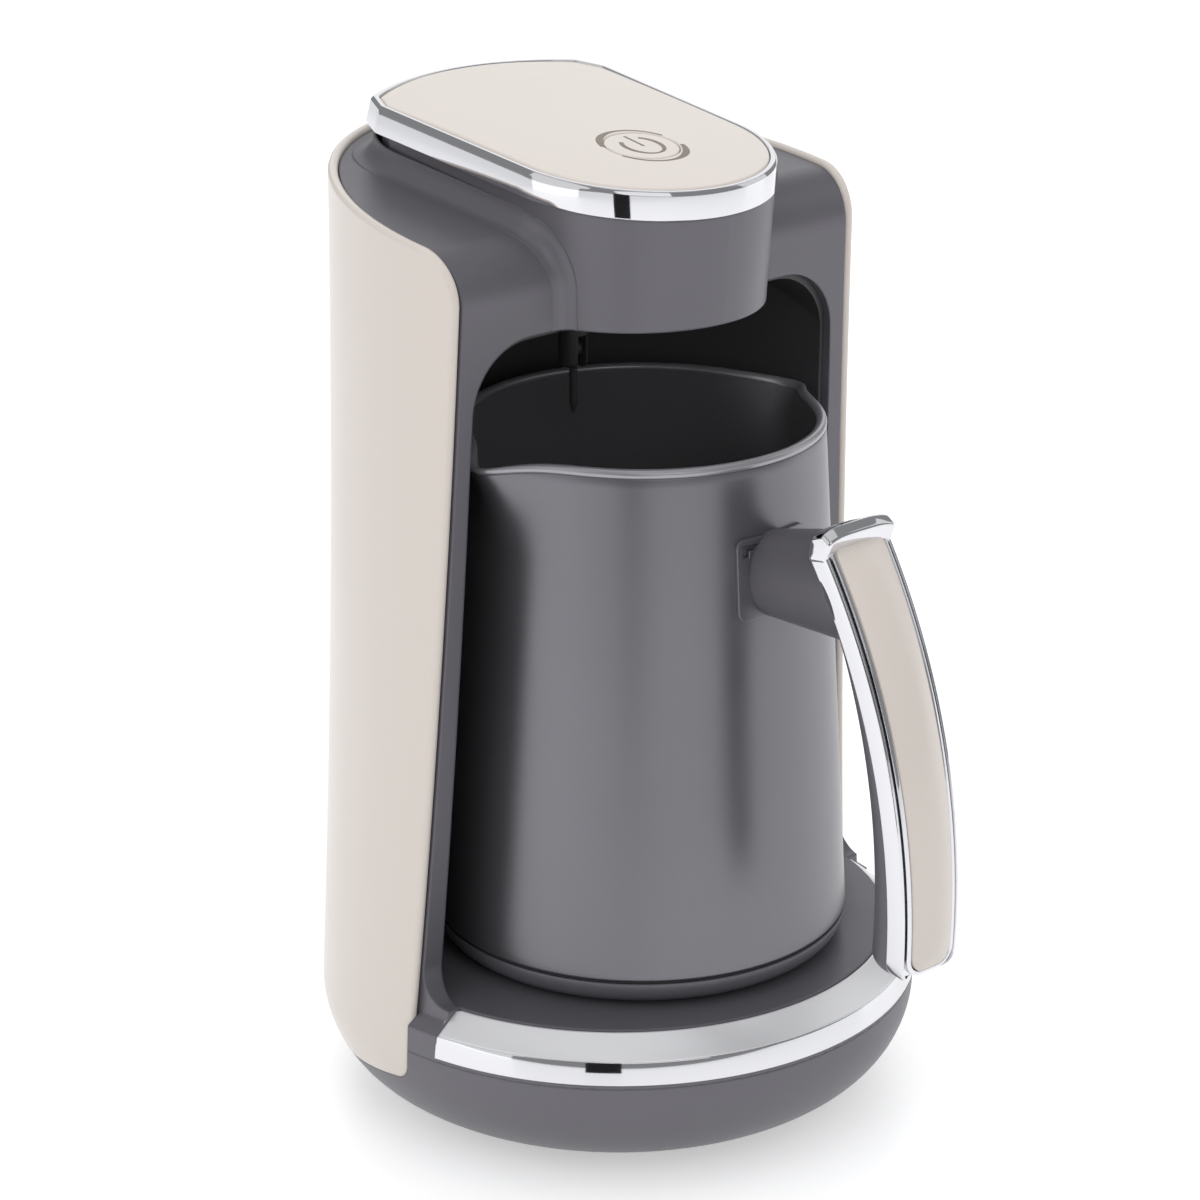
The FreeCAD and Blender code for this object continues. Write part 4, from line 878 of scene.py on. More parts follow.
        share = np.linspace(0, 1, self.sign_steps)
        swell = 0.34 + 0.5 * np.exp(-((share - 0.22) / 0.22) ** 2)
        ends = np.array([[160, 340], [18, 198]])
        turns = np.radians(np.linspace(*ends, self.sign_steps)).T
        crescents = [self.stroke(oval(self.crescent, turn), swell) for turn in turns]
        shop.piece("sign_crescents", crescents, SIGN_INK, Body.HOUSING, "cream_panel")
        turn = np.radians(np.linspace(*self.ring_turn, self.ring_steps))
        ring = self.stroke(oval(self.ring, turn), 0.3 + 0.28 * np.abs(np.cos(turn)))
        bar = self.stroke(centre + np.linspace([0.3, 6.6], [0.0, -0.4], 20), np.full(20, 0.34))
        shop.piece("sign_power", [ring, bar], SIGN_INK, Body.BUTTON, "cream_panel")

    def build(self, shop: Workshop) -> None:
        """Make all pieces of the head's top.

        Args:
            shop: where the pieces are made.
        """
        self.band(shop)
        self.plate(shop)
        self.button(shop)
        self.sign(shop)


@dataclass
class HeadFillet:
    """The soft hollow where the head's flank meets the shoulder and the front face.

    A ball of the fillet's radius rolls along the corner; the hollow is the
    quarter of it that faces the corner.
    """

    head: Head
    radius: float = 4.5
    shoulder: float = 216.8
    shoulder_round: float = 12.0
    ceiling: float = 195.0
    flank_inset: float = 2.1
    taper: float = math.radians(3.6)
    bury: float = 0.5

    def flank(self, y: np.ndarray, height: np.ndarray) -> tuple[np.ndarray, np.ndarray]:
        """Give the right flank of the head's block, which widens upwards.

        It is the head's outline moved in by the inset less tan(taper) times the
        height above the ceiling.

        Args:
            y: places from front to back.
            height: their heights.

        Returns:
            The flank's points and outward normals.
        """
        plan, out = self.head.outline(soften=8)
        right = plan[:, 0] > -0.01
        plan, out = plan[right], out[right]
        order = np.argsort(plan[:, 1])
        plan, out = plan[order], out[order]
        inset = self.flank_inset - math.tan(self.taper) * (height - self.ceiling)
        normal_x = np.interp(y, plan[:, 1], out[:, 0])
        normal_y = np.interp(y, plan[:, 1], out[:, 1])
        x = np.interp(y + inset * normal_y, plan[:, 1], plan[:, 0]) - inset * normal_x
        normal = np.stack([normal_x, normal_y, np.full_like(y, -math.tan(self.taper))], -1)
        return np.stack([np.maximum(x, 0.0), y, height], -1), unit(normal)

    def path(self) -> tuple[np.ndarray, np.ndarray, np.ndarray]:
        """Trace the corner from the rear middle along the right flank and down the front.

        The sheet under it is the sloping shoulder, a round and the leaning front.

        Returns:
            The corner's points, the flank's normals and the sheet's normals.
        """
        slope, lean = math.tan(TILT), math.tan(LEAN)
        level = self.shoulder - self.shoulder_round / math.cos(TILT)
        centre_y, centre_z = round_centre(level, slope, self.shoulder_round)
        start_y = centre_y - self.shoulder_round * math.sin(TILT)
        rear = self.head.rear - self.flank_inset
        corner_y = self.head.corner - self.flank_inset
        arch = rear - (rear - corner_y) * np.linspace(0.0, 1.0, 30) ** 2
        flat_y = np.concatenate([arch, np.linspace(corner_y, start_y, 60)[1:]])
        turn = np.linspace(math.pi / 2 + TILT, math.pi + LEAN, 24)[1:]
        bend_y = centre_y + self.shoulder_round * np.cos(turn)
        bend_z = centre_z + self.shoulder_round * np.sin(turn)
        low_z = np.linspace(bend_z[-1], self.ceiling, 12)[1:]
        y = np.concatenate([flat_y, bend_y, bend_y[-1] - (low_z - bend_z[-1]) * lean])
        z = np.concatenate([self.shoulder + slope * flat_y, bend_z, low_z])
        angle = np.concatenate([np.full(len(flat_y), turn[0]), turn, np.full(len(low_z), turn[-1])])
        corner, flank = self.flank(y, z)
        return corner, flank, np.stack([0 * angle, np.cos(angle), np.sin(angle)], -1)

    def build(self, shop: Workshop) -> None:
        """Make the hollow on both sides as one piece.

        The ball's centre lies at corner + radius * (flank + sheet) / (1 + flank .
        sheet), and the hollow is that centre less the radius times each direction
        between the two normals.

        Args:
            shop: where the piece is made.
        """
        corner, flank, sheet = self.path()
        turn = np.linspace(0, 1, 10)[None, :, None]
        meet = 1 + np.sum(flank * sheet, -1, keepdims=True)
        ball = corner + self.radius * (flank + sheet) / meet
        towards = unit((1 - turn) * flank[:, None] + turn * sheet[:, None])
        hollow = ball[:, None] - self.radius * towards
        buried = corner - self.bury * (flank + sheet)
        first = hollow[:, :1] - self.bury * flank[:, None]
        last = hollow[:, -1:] - self.bury * sheet[:, None]
        section = np.concatenate([hollow, last, buried[:, None], first], 1)
        both = np.concatenate([section[::-1], section * np.array([-1, 1, 1])])
        shop.piece("head_fillet", [Patch(both, False, True), *caps(both)], GREY_ABS, Body.HOUSING,
                   "grey_plastic")


@dataclass
class BaseArc:
    """The chrome arc round the front of the base: a bright face under a satin slope."""

    inner: float = 65.0
    outer: float = 72.5
    draft: float = 1.15
    low: float = 29.5
    crest: float = 35.0
    top: float = 40.2
    end_y: float = -16.06
    end_round: float = 3.0
    columns: int = 240

    def swept(self, profile: np.ndarray) -> np.ndarray:
        """Sweep a profile of (radius, height) round the front.

        Towards both ends the inner corner draws outward along a quarter round, and
        the slope's height falls with it.

        Args:
            profile: the closed profile.

        Returns:
            The grid, one row for each step round the base.
        """
        reach = math.acos(-self.end_y / self.outer)
        turn = reach * np.sin(np.linspace(-np.pi / 2, np.pi / 2, self.columns))
        left = np.minimum((reach - np.abs(turn)) * self.inner, self.end_round)
        pull = self.end_round - np.sqrt(self.end_round ** 2 - (self.end_round - left) ** 2)
        pull = pull[:, None]
        share = np.clip((self.outer - profile[None, :, 0]) / (self.outer - self.inner), 0, 1)
        radius = profile[None, :, 0] + pull * share
        slope = (self.top - self.crest) / (self.outer - self.inner)
        sink = np.where(profile[None, :, 1] > self.crest, pull * share * slope, 0)
        height = profile[None, :, 1] - sink
        return np.stack([radius * np.sin(turn)[:, None], -radius * np.cos(turn)[:, None],
                         height + 0 * radius], -1)

    def build(self, shop: Workshop) -> None:
        """Make the bright face and the slope.

        Args:
            shop: where the pieces are made.
        """
        brow, under = self.outer - self.draft, self.crest - 0.1
        face = self.swept(round_corners([(self.inner, self.low, 0), (self.outer, self.low, 0.3),
                                         (brow, self.crest, 0.4), (self.inner, self.crest, 0)], 6))
        shop.piece("chrome_base_arc", [Patch(face, False, True), *caps(face)], CHROME,
                   Body.HOUSING, "chrome_trim", "base_chrome_arc")
        slope = self.swept(round_corners([(self.inner, under, 0), (brow - 0.1, under, 0),
                                          (brow - 0.25, self.crest + 0.15, 0.1),
                                          (self.inner, self.top, 0.5)], 6))
        shop.piece("satin_base_slope", [Patch(slope, False, True), *caps(slope)], SATIN_CHROME,
                   Body.HOUSING, "chrome_trim")


@dataclass
class Jug:
    """The jug's painted jacket, rim with a painted highlight and coated bowl, with a pouring lip on
    each side.
    """

    forward: float = 8.0
    seam: float = 46.6
    seal: float = 0.6
    low_radius: float = 49.5
    rim_radius: float = 42.3
    rim: float = 168.0
    lip: float = 8.6
    lip_start: float = 140.0
    lip_spread: float = 9.5
    lip_blunt: float = 2.0
    lip_power: float = 1.35
    lip_flare: float = 2.2
    lip_dip: float = 2.2
    jacket_wall: float = 1.6
    bead: float = 1.15
    bowl_wall: float = 1.1
    bowl_round: float = 8.0
    floor: float = 57.0
    columns: int = 288

    def wall(self, height: np.ndarray | float) -> np.ndarray | float:
        """Give the round wall's radius, which tapers straight from seam to rim."""
        fall = (self.low_radius - self.rim_radius) / (self.rim - self.seam)
        return self.low_radius - fall * (height - self.seam)

    def lip_share(self, angle: np.ndarray) -> np.ndarray:
        """Give a lip's share from its tip to the round wall.

        With d the turn away from the tip in degrees and b its blunting, it is
        exp(-((sqrt(d^2 + b^2) - b) / spread)^power).

        Args:
            angle: turns about the jug's axis, in radians.

        Returns:
            The shares, one at a tip.
        """
        away = np.degrees(np.arccos(np.clip(np.abs(np.cos(angle)), 0, 1)))
        turned = np.sqrt(away ** 2 + self.lip_blunt ** 2) - self.lip_blunt
        return np.exp(-(turned / self.lip_spread) ** self.lip_power)

    def turned(self, profile: np.ndarray) -> np.ndarray:
        """Carry a profile of (inset, height) round the jug.

        Each lip adds to the wall's radius by the power `lip_flare` of the height
        above its start, and dips the rim a little.

        Args:
            profile: points of inset from the outer wall and height.

        Returns:
            The grid, one row for each profile point.
        """
        angle = np.linspace(0, 2 * np.pi, self.columns, endpoint=False)[None, :]
        height = profile[:, 1:2]
        rise = np.clip((height - self.lip_start) / (self.rim - self.lip_start), 0, None)
        rise = rise ** self.lip_flare
        share = self.lip_share(angle)
        radius = self.wall(height) + self.lip * rise * share - profile[:, :1]
        return np.stack([radius * np.cos(angle), radius * np.sin(angle) - self.forward,
                         height - self.lip_dip * rise * share], -1)

    def build(self, shop: Workshop) -> None:
        """Make jacket, rim and bowl.

        Args:
            shop: where the pieces are made.
        """
        self.jacket(shop)
        self.rolled_rim(shop)
        self.bowl(shop)

    def jacket(self, shop: Workshop) -> None:
        """Make the painted jacket: up its outside, over its top and down its inside.

        Args:
            shop: where the piece is made.
        """
        low, neck = self.seam + self.seal, self.rim - 2 * self.bead
        walls = np.linspace(low + 0.6, neck, 60)
        wall_rows = np.stack([0 * walls, walls], -1)
        inner_rows = np.stack([0 * walls[::-3] + self.jacket_wall, walls[::-3] - 0.3], -1)
        profile = np.concatenate([[[0.6, low], [0.2, low + 0.15], [0.04, low + 0.35]], wall_rows,
                                  [[0.12, neck + 0.3], [0.5, neck + 0.5]], inner_rows,
                                  [[self.jacket_wall, low]]])
        shop.piece("jug_body", [Patch(self.turned(profile), True, True)], JUG_PAINT, Body.JUG,
                   "grey_paint", "jug_jacket")

    def rolled_rim(self, shop: Workshop) -> None:
        """Make the rolled rim: an oval bead, a little wider than tall.

        Args:
            shop: where the piece is made.
        """
        turn = np.linspace(0, 2 * np.pi, 20, endpoint=False)
        ring = np.stack([self.bead * 1.05 - 0.15 - self.bead * 1.05 * np.cos(turn),
                         self.rim - self.bead + self.bead * np.sin(turn)], -1)
        # The rim wears the jacket's grey paint; its paler grey here is a painted highlight along
        # the rolled edge
        shop.piece("jug_rim", [Patch(self.turned(ring), True, True)], RIM_PAINTED_HIGHLIGHT, Body.JUG,
                   "grey_paint")

    def bowl(self, shop: Workshop) -> None:
        """Make the coated bowl: a wall, a quarter round and a flat floor, in one thickness.

        Args:
            shop: where the piece is made.
        """
        start, curve, knee = 2 * self.bead - 0.2, self.bowl_round, self.floor + self.bowl_round
        corner = np.linspace(0, np.pi / 2, 10)[1:]
        inside = np.linspace(self.rim - self.bead, knee + 1, 50)
        reach = (self.wall(self.floor) - start - curve) * np.array([0.3, 0.6, 0.85, 0.999])
        inner = np.concatenate([
            np.stack([0 * inside + start, inside], -1),
            np.stack([start + curve * (1 - np.cos(corner)), knee - curve * np.sin(corner)], -1),
            np.stack([start + curve + reach, np.full(4, self.floor)], -1)])
        outer = inner - np.array([self.bowl_wall, 0])
        outer[:, 1] -= np.where(inner[:, 1] < knee, self.bowl_wall, 0)
        outer[0] = inner[0] + np.array([-0.5, 0.3])
        profile = np.concatenate([inner[::-1], outer])
        # The lining's near-black coating is painted lighter, as light that the deep bowl does not
        # get
        shop.piece("jug_lining", [Patch(self.turned(profile), False, True)], NONSTICK_PAINTED_LIGHT, Body.JUG,
                   "dark_coating", "jug_bowl")


@dataclass
class Grip:
    """The jug's grip: grey spine and neck, chrome frame and rim, cream inlay.

    The grip follows a circle seen from the side. `level` is the height of its
    foremost point. A point of it has a height along the circle, a distance
    across and a distance `out` from the circle along its normal.
    """

    radius: float = 150.0
    centre: float = 46.4
    level: float = 70.8
    inner_radius: float = 158.0
    inner_centre: float = 66.5
    inner_level: float = 78.0
    top: float = 156.0
    bottom: float = 58.5
    top_half: float = 10.3
    bottom_half: float = 8.7
    frame_depth: float = 4.8
    frame_lip: float = 0.9
    foot_round: float = 3.2
    cap_side: tuple[tuple[float, float], ...] = ((-72.6, 152.6), (-73.6, 158.6), (-77.4, 160.0),
                                                 (-79.9, 158.4), (-78.2, 153.6))
    cap_shrink: float = 0.28
    cap_sink: float = 1.3
    rim_inset: float = 1.55
    rim_width: float = 1.15
    inlay_inset: float = 3.4
    inlay_crown: float = 1.45
    crown_run: float = 7.0
    spine_powers: tuple[float, float] = (0.55, 0.6)
    neck_level: float = 141.0
    neck_rise: float = 3.4
    neck_tall: tuple[float, float] = (10.0, 2.0)
    neck_broad: tuple[float, float] = (7.4, 3.2)
    jug: Jug = field(default_factory=Jug)

    def half(self, height: np.ndarray) -> np.ndarray:
        """Give the grip's half width, which grows straight from bottom to top."""
        share = (height - self.bottom + 2) / (self.top + 12 - self.bottom)
        return self.bottom_half + (self.top_half - self.bottom_half) * share

    def place(self, height: np.ndarray, across: np.ndarray, out: np.ndarray) -> np.ndarray:
        """Stand points of the grip's front up in the part.

        The front circle gives the direction, and `out` is added to its radius.

        Args:
            height: height on the front circle before stepping out.
            across: distance from the middle plane.
            out: distance outward along the circle's normal.

        Returns:
            The points.
        """
        rise = (height - self.level) / self.radius
        run = np.sqrt(1 - rise ** 2)
        return np.stack([across + 0 * height, self.centre - (self.radius + out) * run,
                         self.level + (self.radius + out) * rise], -1)

    def back(self, height: np.ndarray) -> np.ndarray:
        """Give the y of the spine's back line at a height."""
        rise = height - self.inner_level
        return self.inner_centre - np.sqrt(self.inner_radius ** 2 - rise ** 2)

    def front(self, height: np.ndarray, depth: float) -> np.ndarray:
        """Give the y of the line that lies `depth` inside the front circle."""
        return self.centre - np.sqrt((self.radius - depth) ** 2 - (height - self.level) ** 2)

    def rounded_half(self, height: np.ndarray, low: float, high: float, inset: float,
                     low_round: float, high_round: float) -> np.ndarray:
        """Give the half width of an inset outline whose ends have rounded corners.

        At a distance d into a corner's radius r it is cut by r - sqrt(r^2 - d^2).

        Args:
            height: heights along the front circle.
            low: the outline's lower end.
            high: its upper end.
            inset: distance inside the grip's own side.
            low_round: radius of the lower corners.
            high_round: radius of the upper corners.

        Returns:
            The half widths.
        """
        up = np.clip(low + low_round - height, 0, low_round)
        down = np.clip(height - high + high_round, 0, high_round)
        cut = low_round - np.sqrt(low_round ** 2 - up ** 2) + high_round \
            - np.sqrt(high_round ** 2 - down ** 2)
        return self.half(height) - inset - cut

    def levels(self, low: float, high: float, rows: int) -> np.ndarray:
        """Give heights that lie closer together towards both ends."""
        return low + (high - low) * (1 - np.cos(np.linspace(0, np.pi, rows))) / 2

    def frame(self, shop: Workshop) -> None:
        """Make the chrome frame: a shallow bar with a recess and a rounded foot, and its cap.

        Each point of the section is a side, an inset and a step out. The foot sinks
        by a quarter round.

        Args:
            shop: where the piece is made.
        """
        low, high = self.bottom + 0.6, self.top - 0.5
        height = self.levels(low, high, 110)[:, None]
        half = self.rounded_half(height, low, high + 5, 0.0, 5.2, 0.5)
        lip, curve = self.frame_lip, self.foot_round
        section = [(1, 0, -self.frame_depth), (1, 0, -0.7), (1, 0.12, -0.3), (1, 0.4, -0.08),
                   (1, lip - 0.15, -0.1), (1, lip, -0.3), (1, lip, -1.5)]
        section += [(-sign, inset, out) for sign, inset, out in section[::-1]]
        sign, inset, out = (np.array(values)[None, :] for values in zip(*section))
        fall = np.clip(low + curve - height, 0, curve)
        sink = curve - np.sqrt(curve ** 2 - fall ** 2)
        points = self.place(height, sign * np.maximum(half - inset, 0.3),
                            np.maximum(out - sink, -self.frame_depth))
        cap = self.cap()
        shop.piece("grip_chrome_frame", [Patch(points, False, True), *caps(points),
                                         Patch(cap, False, True), *caps(cap)],
                   CHROME, Body.JUG, "chrome_trim", "grip_frame")

    def cap(self) -> np.ndarray:
        """Give the frame's flared cap: its side view carried across.

        At distance t across, in half widths, the side view sinks by cap_sink * t^4,
        and over the last tenth it shrinks by cap_shrink along a quarter round.

        Returns:
            The grid, one side view for each step across.
        """
        side = round_corners([(y, z, 0.8) for y, z in self.cap_side], 5)
        middle = side.mean(0)
        across = np.sin(np.linspace(-np.pi / 2, np.pi / 2, 41))
        edge = np.clip((1 - np.abs(across)) / 0.1, 0, 1)
        grow = 1 - self.cap_shrink + self.cap_shrink * np.sqrt(1 - (1 - edge) ** 2)
        grow = grow[:, None, None]
        ring = middle + (side[None] - middle) * grow
        ring[..., 1] -= self.cap_sink * across[:, None] ** 4
        wide = (across * (self.top_half + 0.1))[:, None, None]
        return np.concatenate([np.broadcast_to(wide, (*ring.shape[:2], 1)), ring], -1)

    def rim(self, shop: Workshop) -> None:
        """Make the chrome rim that stands round the inlay behind a dark groove.

        Its profile of steps in and out runs round the grip's inset outline.

        Args:
            shop: where the piece is made.
        """
        low, high = self.bottom + 2.4, self.top + 1.0
        up = self.levels(low, high, 90)
        across = self.rounded_half(up, low, high, self.rim_inset, 4.6, 3.2)
        right = np.stack([across, up], -1)
        ring = np.concatenate([right, right[::-1] * np.array([-1, 1])])
        ring = even_ring(ring, 360)
        along = unit(np.roll(ring, -1, axis=0) - np.roll(ring, 1, axis=0))
        away = np.stack([along[:, 1], -along[:, 0]], -1)
        profile = round_corners([(0, -1.6, 0), (0, 0.15, 0.3), (-self.rim_width, 0.4, 0.3),
                                 (-self.rim_width, -1.6, 0)], 5)
        flat = ring[:, None] + away[:, None] * profile[None, :, :1]
        points = self.place(flat[..., 1], flat[..., 0], profile[None, :, 1] + 0 * flat[..., 0])
        shop.piece("grip_chrome_rim", [Patch(points, True, True)], CHROME, Body.JUG, "chrome_trim",
                   "grip_rim")

    def inlay(self, shop: Workshop) -> None:
        """Make the crowned cream inlay.

        Its crown falls with the square of the way across, and over the last
        millimetres of both ends with the square of the way to the end.

        Args:
            shop: where the piece is made.
        """
        low, high = self.bottom + 4.1, self.top - 0.7
        height = self.levels(low, high, 80)[:, None]
        across = np.sin(np.linspace(-np.pi / 2, np.pi / 2, 33))[None, :]
        half = self.rounded_half(height, low - 0.4, high + 0.4, self.inlay_inset, 4.2, 2.6)
        end = np.clip(np.minimum(height - low, high - height) / self.crown_run, 0, 1)
        crown = self.inlay_crown * (1 - across ** 2) * (1 - (1 - end) ** 2)
        outer = self.place(height, half * across, 0.75 + crown)
        inner = self.place(height, half * across, -1.2 + 0 * crown)
        shop.piece("grip_cream_inlay", rounded_sheet(outer, inner, 0.6), CREAM_LACQUER, Body.JUG,
                   "cream_panel", "grip_inlay")

    def spine(self, shop: Workshop) -> None:
        """Make the spine, rounded towards the jug, and the neck that runs to the mount plate.

        The spine's section is a superellipse: with p and q its two powers, the half
        width times |cos|^p across and the reach towards the jug times |sin|^q back.

        Args:
            shop: where the piece is made.
        """
        low, high = self.bottom + 0.6, self.top - 1.5
        height = self.levels(low, high, 90)[:, None]
        turn = np.linspace(0, np.pi, 31)[None, :]
        wide = self.rounded_half(height, low, high + 3, 0.55, 5.0, 1.0)
        front = self.front(height, self.frame_depth - 0.25)
        foot = np.clip(low + 6.0 - height, 0, 6.0)
        reach = np.maximum(self.back(height) - front, 0.6) * np.sqrt(1 - (foot / 6.0) ** 2) + 0.02
        x = wide * np.sign(np.cos(turn)) * np.abs(np.cos(turn)) ** self.spine_powers[0]
        y = front + reach * np.abs(np.sin(turn)) ** self.spine_powers[1]
        points = np.stack([x, y + 0 * x, height + 0 * x], -1)
        neck = self.neck()
        shop.piece("grip_spine_neck", [Patch(points, False, True), *caps(points),
                                       Patch(neck, False, True), *caps(neck)],
                   GREY_ABS, Body.JUG, "grey_plastic", "grip_spine")

    def neck(self) -> np.ndarray:
        """Give the neck: ovals that grow and rise from the jug's wall to the grip.

        An oval's half sizes are the first number of each pair plus the share of the
        way times the second.

        Returns:
            The grid, one oval for each step outward.
        """
        share = np.linspace(0, 1, 24)[:, None]
        around = np.linspace(0, 2 * np.pi, 72, endpoint=False)[None, :]
        tall, broad = (pair[0] + pair[1] * share for pair in (self.neck_tall, self.neck_broad))
        level = self.neck_level + self.neck_rise * share + tall * np.sin(around)
        side = broad * np.cos(around)
        start = -self.jug.forward - np.sqrt(self.jug.wall(level[:1]) ** 2 - side[:1] ** 2) + 0.4
        highest = self.top - 1.0
        stop = self.front(np.minimum(level[-1:], highest), self.frame_depth - 0.4)
        return np.stack([side, start * (1 - share) + stop * share, np.minimum(level, highest)], -1)

    def build(self, shop: Workshop) -> None:
        """Make all pieces of the grip.

        Args:
            shop: where the pieces are made.
        """
        self.frame(shop)
        self.rim(shop)
        self.inlay(shop)
        self.spine(shop)


# Carried-over pieces

DRESSING: dict[Finish, tuple[str, ...]] = {
    GREY_ABS: ("base_tub", "main_housing", "jug_base_cup"),
    JUG_PAINT: ("grip_mount_plate",),
    # The black PBT is painted lighter, as light that the shaded bay does not get
    BLACK_PBT_PAINTED_LIGHT: ("bay_liner", "sensor_boss", "power_socket", "jug_plug", "foam_probe", "probe_pin"),
    RUBBER: ("rubber_feet", "cord_gland", "jug_seal"),
    ZINC: ("base_screws", "board_screws", "power_screws", "clamp_screws", "jug_base_screws",
           "grip_screw", "heater_element", "thermal_fuse"),
    CAST_ALUMINIUM: ("heater_plate",),
    BRASS: ("contact_pins",),
    BOARD: ("control_board", "power_board"),
    MILKY_PC: ("light_guide", "status_lamps", "terminal_block"),
    EPOXY: ("tact_switch", "buzzer", "power_relay", "supply_coil", "capacitor", "thermostat",
            "cord_clamp"),
}


# The studio


@dataclass
class Studio:
    """Floor, lamps and camera of a plain product photograph."""

    yaw: float = math.radians(41.5)
    fall: float = math.radians(20.3)
    distance: float = 850.0
    lens: float = 108.0
    target: tuple[float, float, float] = (-3.26, 2.89, 120.0)
    floor_half: float = 6.0
    floor_glow: float = 0.42
    sky_on_matte: float = 0.7
    sky_in_gloss: float = 0.3
    aim: tuple[float, float, float] = (0.0, 0.0, 0.12)

    def camera(self) -> None:
        """Set the camera at the photograph's angle and distance."""
        level = math.cos(self.fall)
        ahead = Vector((math.sin(self.yaw) * level, math.cos(self.yaw) * level,
                        -math.sin(self.fall)))
        right = Vector((math.cos(self.yaw), -math.sin(self.yaw), 0))
        up = right.cross(ahead)
        data = bpy.data.cameras.new("Product_camera")
        data.lens = self.lens
        data.sensor_width = 36.0
        data.clip_start = 0.05
        camera = bpy.data.objects.new("Product_camera", data)
        bpy.context.scene.collection.objects.link(camera)
        spot = Vector(to_frame(np.array(self.target))) - ahead * self.distance * MM
        turn = Matrix((right, up, -ahead)).transposed().to_4x4()
        camera.matrix_world = Matrix.Translation(spot) @ turn
        bpy.context.scene.camera = camera

    def floor(self) -> None:
        """Lay a pale floor that goes to white for the camera but keeps its shadows."""
        half = self.floor_half
        mesh = bpy.data.meshes.new("Paper_floor")
        corners = [(-half, -half, 0), (half, -half, 0), (half, half, 0), (-half, half, 0)]
        mesh.from_pydata(corners, [], [(0, 1, 2, 3)])
        floor = bpy.data.objects.new("Paper_floor", mesh)
        bpy.context.scene.collection.objects.link(floor)
        material = bpy.data.materials.new("White_paper")
        material.use_nodes = True
        tree = material.node_tree
        tree.nodes.clear()
        path = add_node(tree, "ShaderNodeLightPath").outputs
        paper = add_node(tree, "ShaderNodeBsdfPrincipled", {}, {
            "Base Color": linear("F4F4F4"), "Roughness": 0.35, "Specular IOR Level": 0.35})
        glow = add_node(tree, "ShaderNodeEmission", {}, {
            "Color": linear("FFFFFF"), "Strength": self.floor_glow})
        seen = add_node(tree, "ShaderNodeMath", {"operation": "MAXIMUM"},
                        {0: path["Is Camera Ray"], 1: path["Is Glossy Ray"]}).outputs[0]
        none = add_node(tree, "ShaderNodeEmission", {}, {"Strength": 0.0})
        lift = add_node(tree, "ShaderNodeMixShader", {}, {
            0: seen, 1: none.outputs[0], 2: glow.outputs[0]})
        both = add_node(tree, "ShaderNodeAddShader", {}, {0: paper.outputs[0], 1: lift.outputs[0]})
        add_node(tree, "ShaderNodeOutputMaterial", {"is_active_output": True},
                 {"Surface": both.outputs[0]})
        mesh.materials.append(material)

    def world(self) -> None:
        """Light everything evenly from a soft sky that looks white to the camera.

        Polished pieces see it darker than it lights the matte ones.
        """
        world = bpy.data.worlds.new("Studio_white")
        world.use_nodes = True
        tree = world.node_tree
        tree.nodes.clear()
        path = add_node(tree, "ShaderNodeLightPath").outputs
        seen = add_node(tree, "ShaderNodeMath", {"operation": "MAXIMUM"},
                        {0: path["Is Camera Ray"], 1: path["Is Transmission Ray"]}).outputs[0]
        white = add_node(tree, "ShaderNodeBackground", {}, {
            "Color": linear("FFFFFF"), "Strength": 1.0})
        level = add_node(tree, "ShaderNodeMix", {"data_type": "FLOAT"}, {
            0: path["Is Glossy Ray"], 2: self.sky_on_matte, 3: self.sky_in_gloss}).outputs[0]
        soft = add_node(tree, "ShaderNodeBackground", {}, {
            "Color": linear("F7F8FA"), "Strength": level})
        mix = add_node(tree, "ShaderNodeMixShader", {}, {
            0: seen, 1: soft.outputs[0], 2: white.outputs[0]})
        add_node(tree, "ShaderNodeOutputWorld", {}, {"Surface": mix.outputs[0]})
        bpy.context.scene.world = world

    def lamp(self, name: str, spot: tuple[float, float, float], size: tuple[float, float],
             power: float) -> None:
        """Hang a soft rectangular lamp that faces the middle of the part.

        Args:
            name: the lamp's name.
            spot: its place in metres.
            size: its width and height in metres.
            power: its power in watts.
        """
        data = bpy.data.lights.new(name, "AREA")
        data.shape = "RECTANGLE"
        data.size, data.size_y = size
        data.energy = power
        lamp = bpy.data.objects.new(name, data)
        bpy.context.scene.collection.objects.link(lamp)
        lamp.location = spot
        ahead = Vector(self.aim) - Vector(spot)
        lamp.rotation_euler = ahead.to_track_quat("-Z", "Y").to_euler()

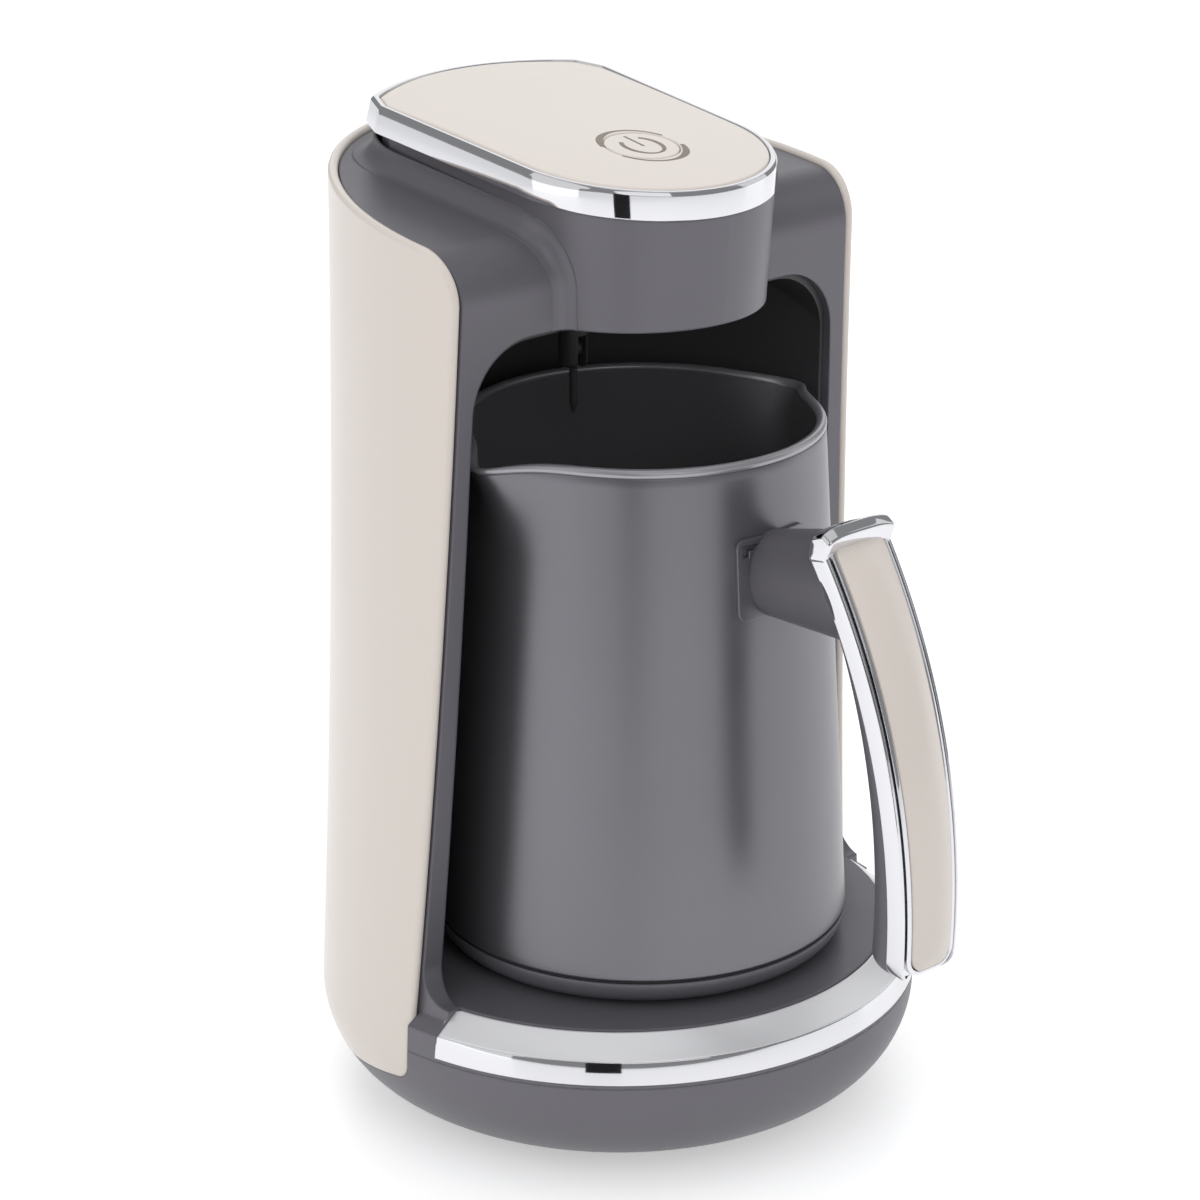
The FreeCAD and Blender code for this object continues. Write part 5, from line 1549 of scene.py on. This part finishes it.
    def card(self, turn: float, away: float, width: float, height: float) -> None:
        """Stand a dark card beside the camera that only polished pieces can see.

        Args:
            turn: its direction from the front, in radians.
            away: its distance from the base's axis in millimetres.
            width: its width in millimetres.
            height: its height in millimetres.
        """
        middle = away * np.array([math.sin(turn), -math.cos(turn), 0])
        side = width / 2 * np.array([math.cos(turn), math.sin(turn), 0])
        rise = np.array([0, 0, height])
        left, right = middle - side, middle + side
        corners = to_frame(np.array([left, right, right + rise, left + rise]))
        mesh = bpy.data.meshes.new("Dark_card")
        mesh.from_pydata(corners, [], [(0, 1, 2, 3)])
        card = bpy.data.objects.new("Dark_card", mesh)
        bpy.context.scene.collection.objects.link(card)
        material = bpy.data.materials.new("Black_flock")
        material.use_nodes = True
        shader = material.node_tree.nodes["Principled BSDF"]
        shader.inputs["Base Color"].default_value = linear("141416")
        shader.inputs["Roughness"].default_value = 0.9
        mesh.materials.append(material)
        card.visible_camera = False
        card.visible_diffuse = False
        card.visible_shadow = False

    def build(self) -> None:
        """Set up camera, floor, sky, lamps and card."""
        self.camera()
        self.floor()
        self.world()
        self.lamp("Left_softbox", (-1.38, 0.24, 0.7), (1.2, 1.7), 3.5)
        self.lamp("Front_softbox", (-0.52, -1.1, 0.95), (0.9, 0.9), 1.9)
        self.lamp("Right_softbox", (1.45, -0.45, 0.6), (0.8, 1.6), 2.2)
        self.lamp("Back_softbox", (0.95, 0.95, 0.75), (1.4, 0.9), 3.2)
        self.lamp("Top_softbox", (0.0, 0.1, 1.5), (1.4, 1.4), 2.6)
        self.card(math.radians(-46.5), 500.0, 105.0, 380.0)
        bpy.context.scene.view_settings.view_transform = "Standard"


def main() -> None:
    """Build the studio, dress the frame and add the pieces, in order."""
    logging.basicConfig(level=logging.INFO, format="%(message)s")
    shop = Workshop()
    Studio().build()
    for finish, nodes in DRESSING.items():
        shop.dress(finish, *nodes)
    head = Head()
    for part in (WrapShell(), head, HeadFillet(head), BaseArc(), Jug(), Grip()):
        part.build(shop)
    bpy.context.view_layer.update()


if __name__ == "__main__":
    main()
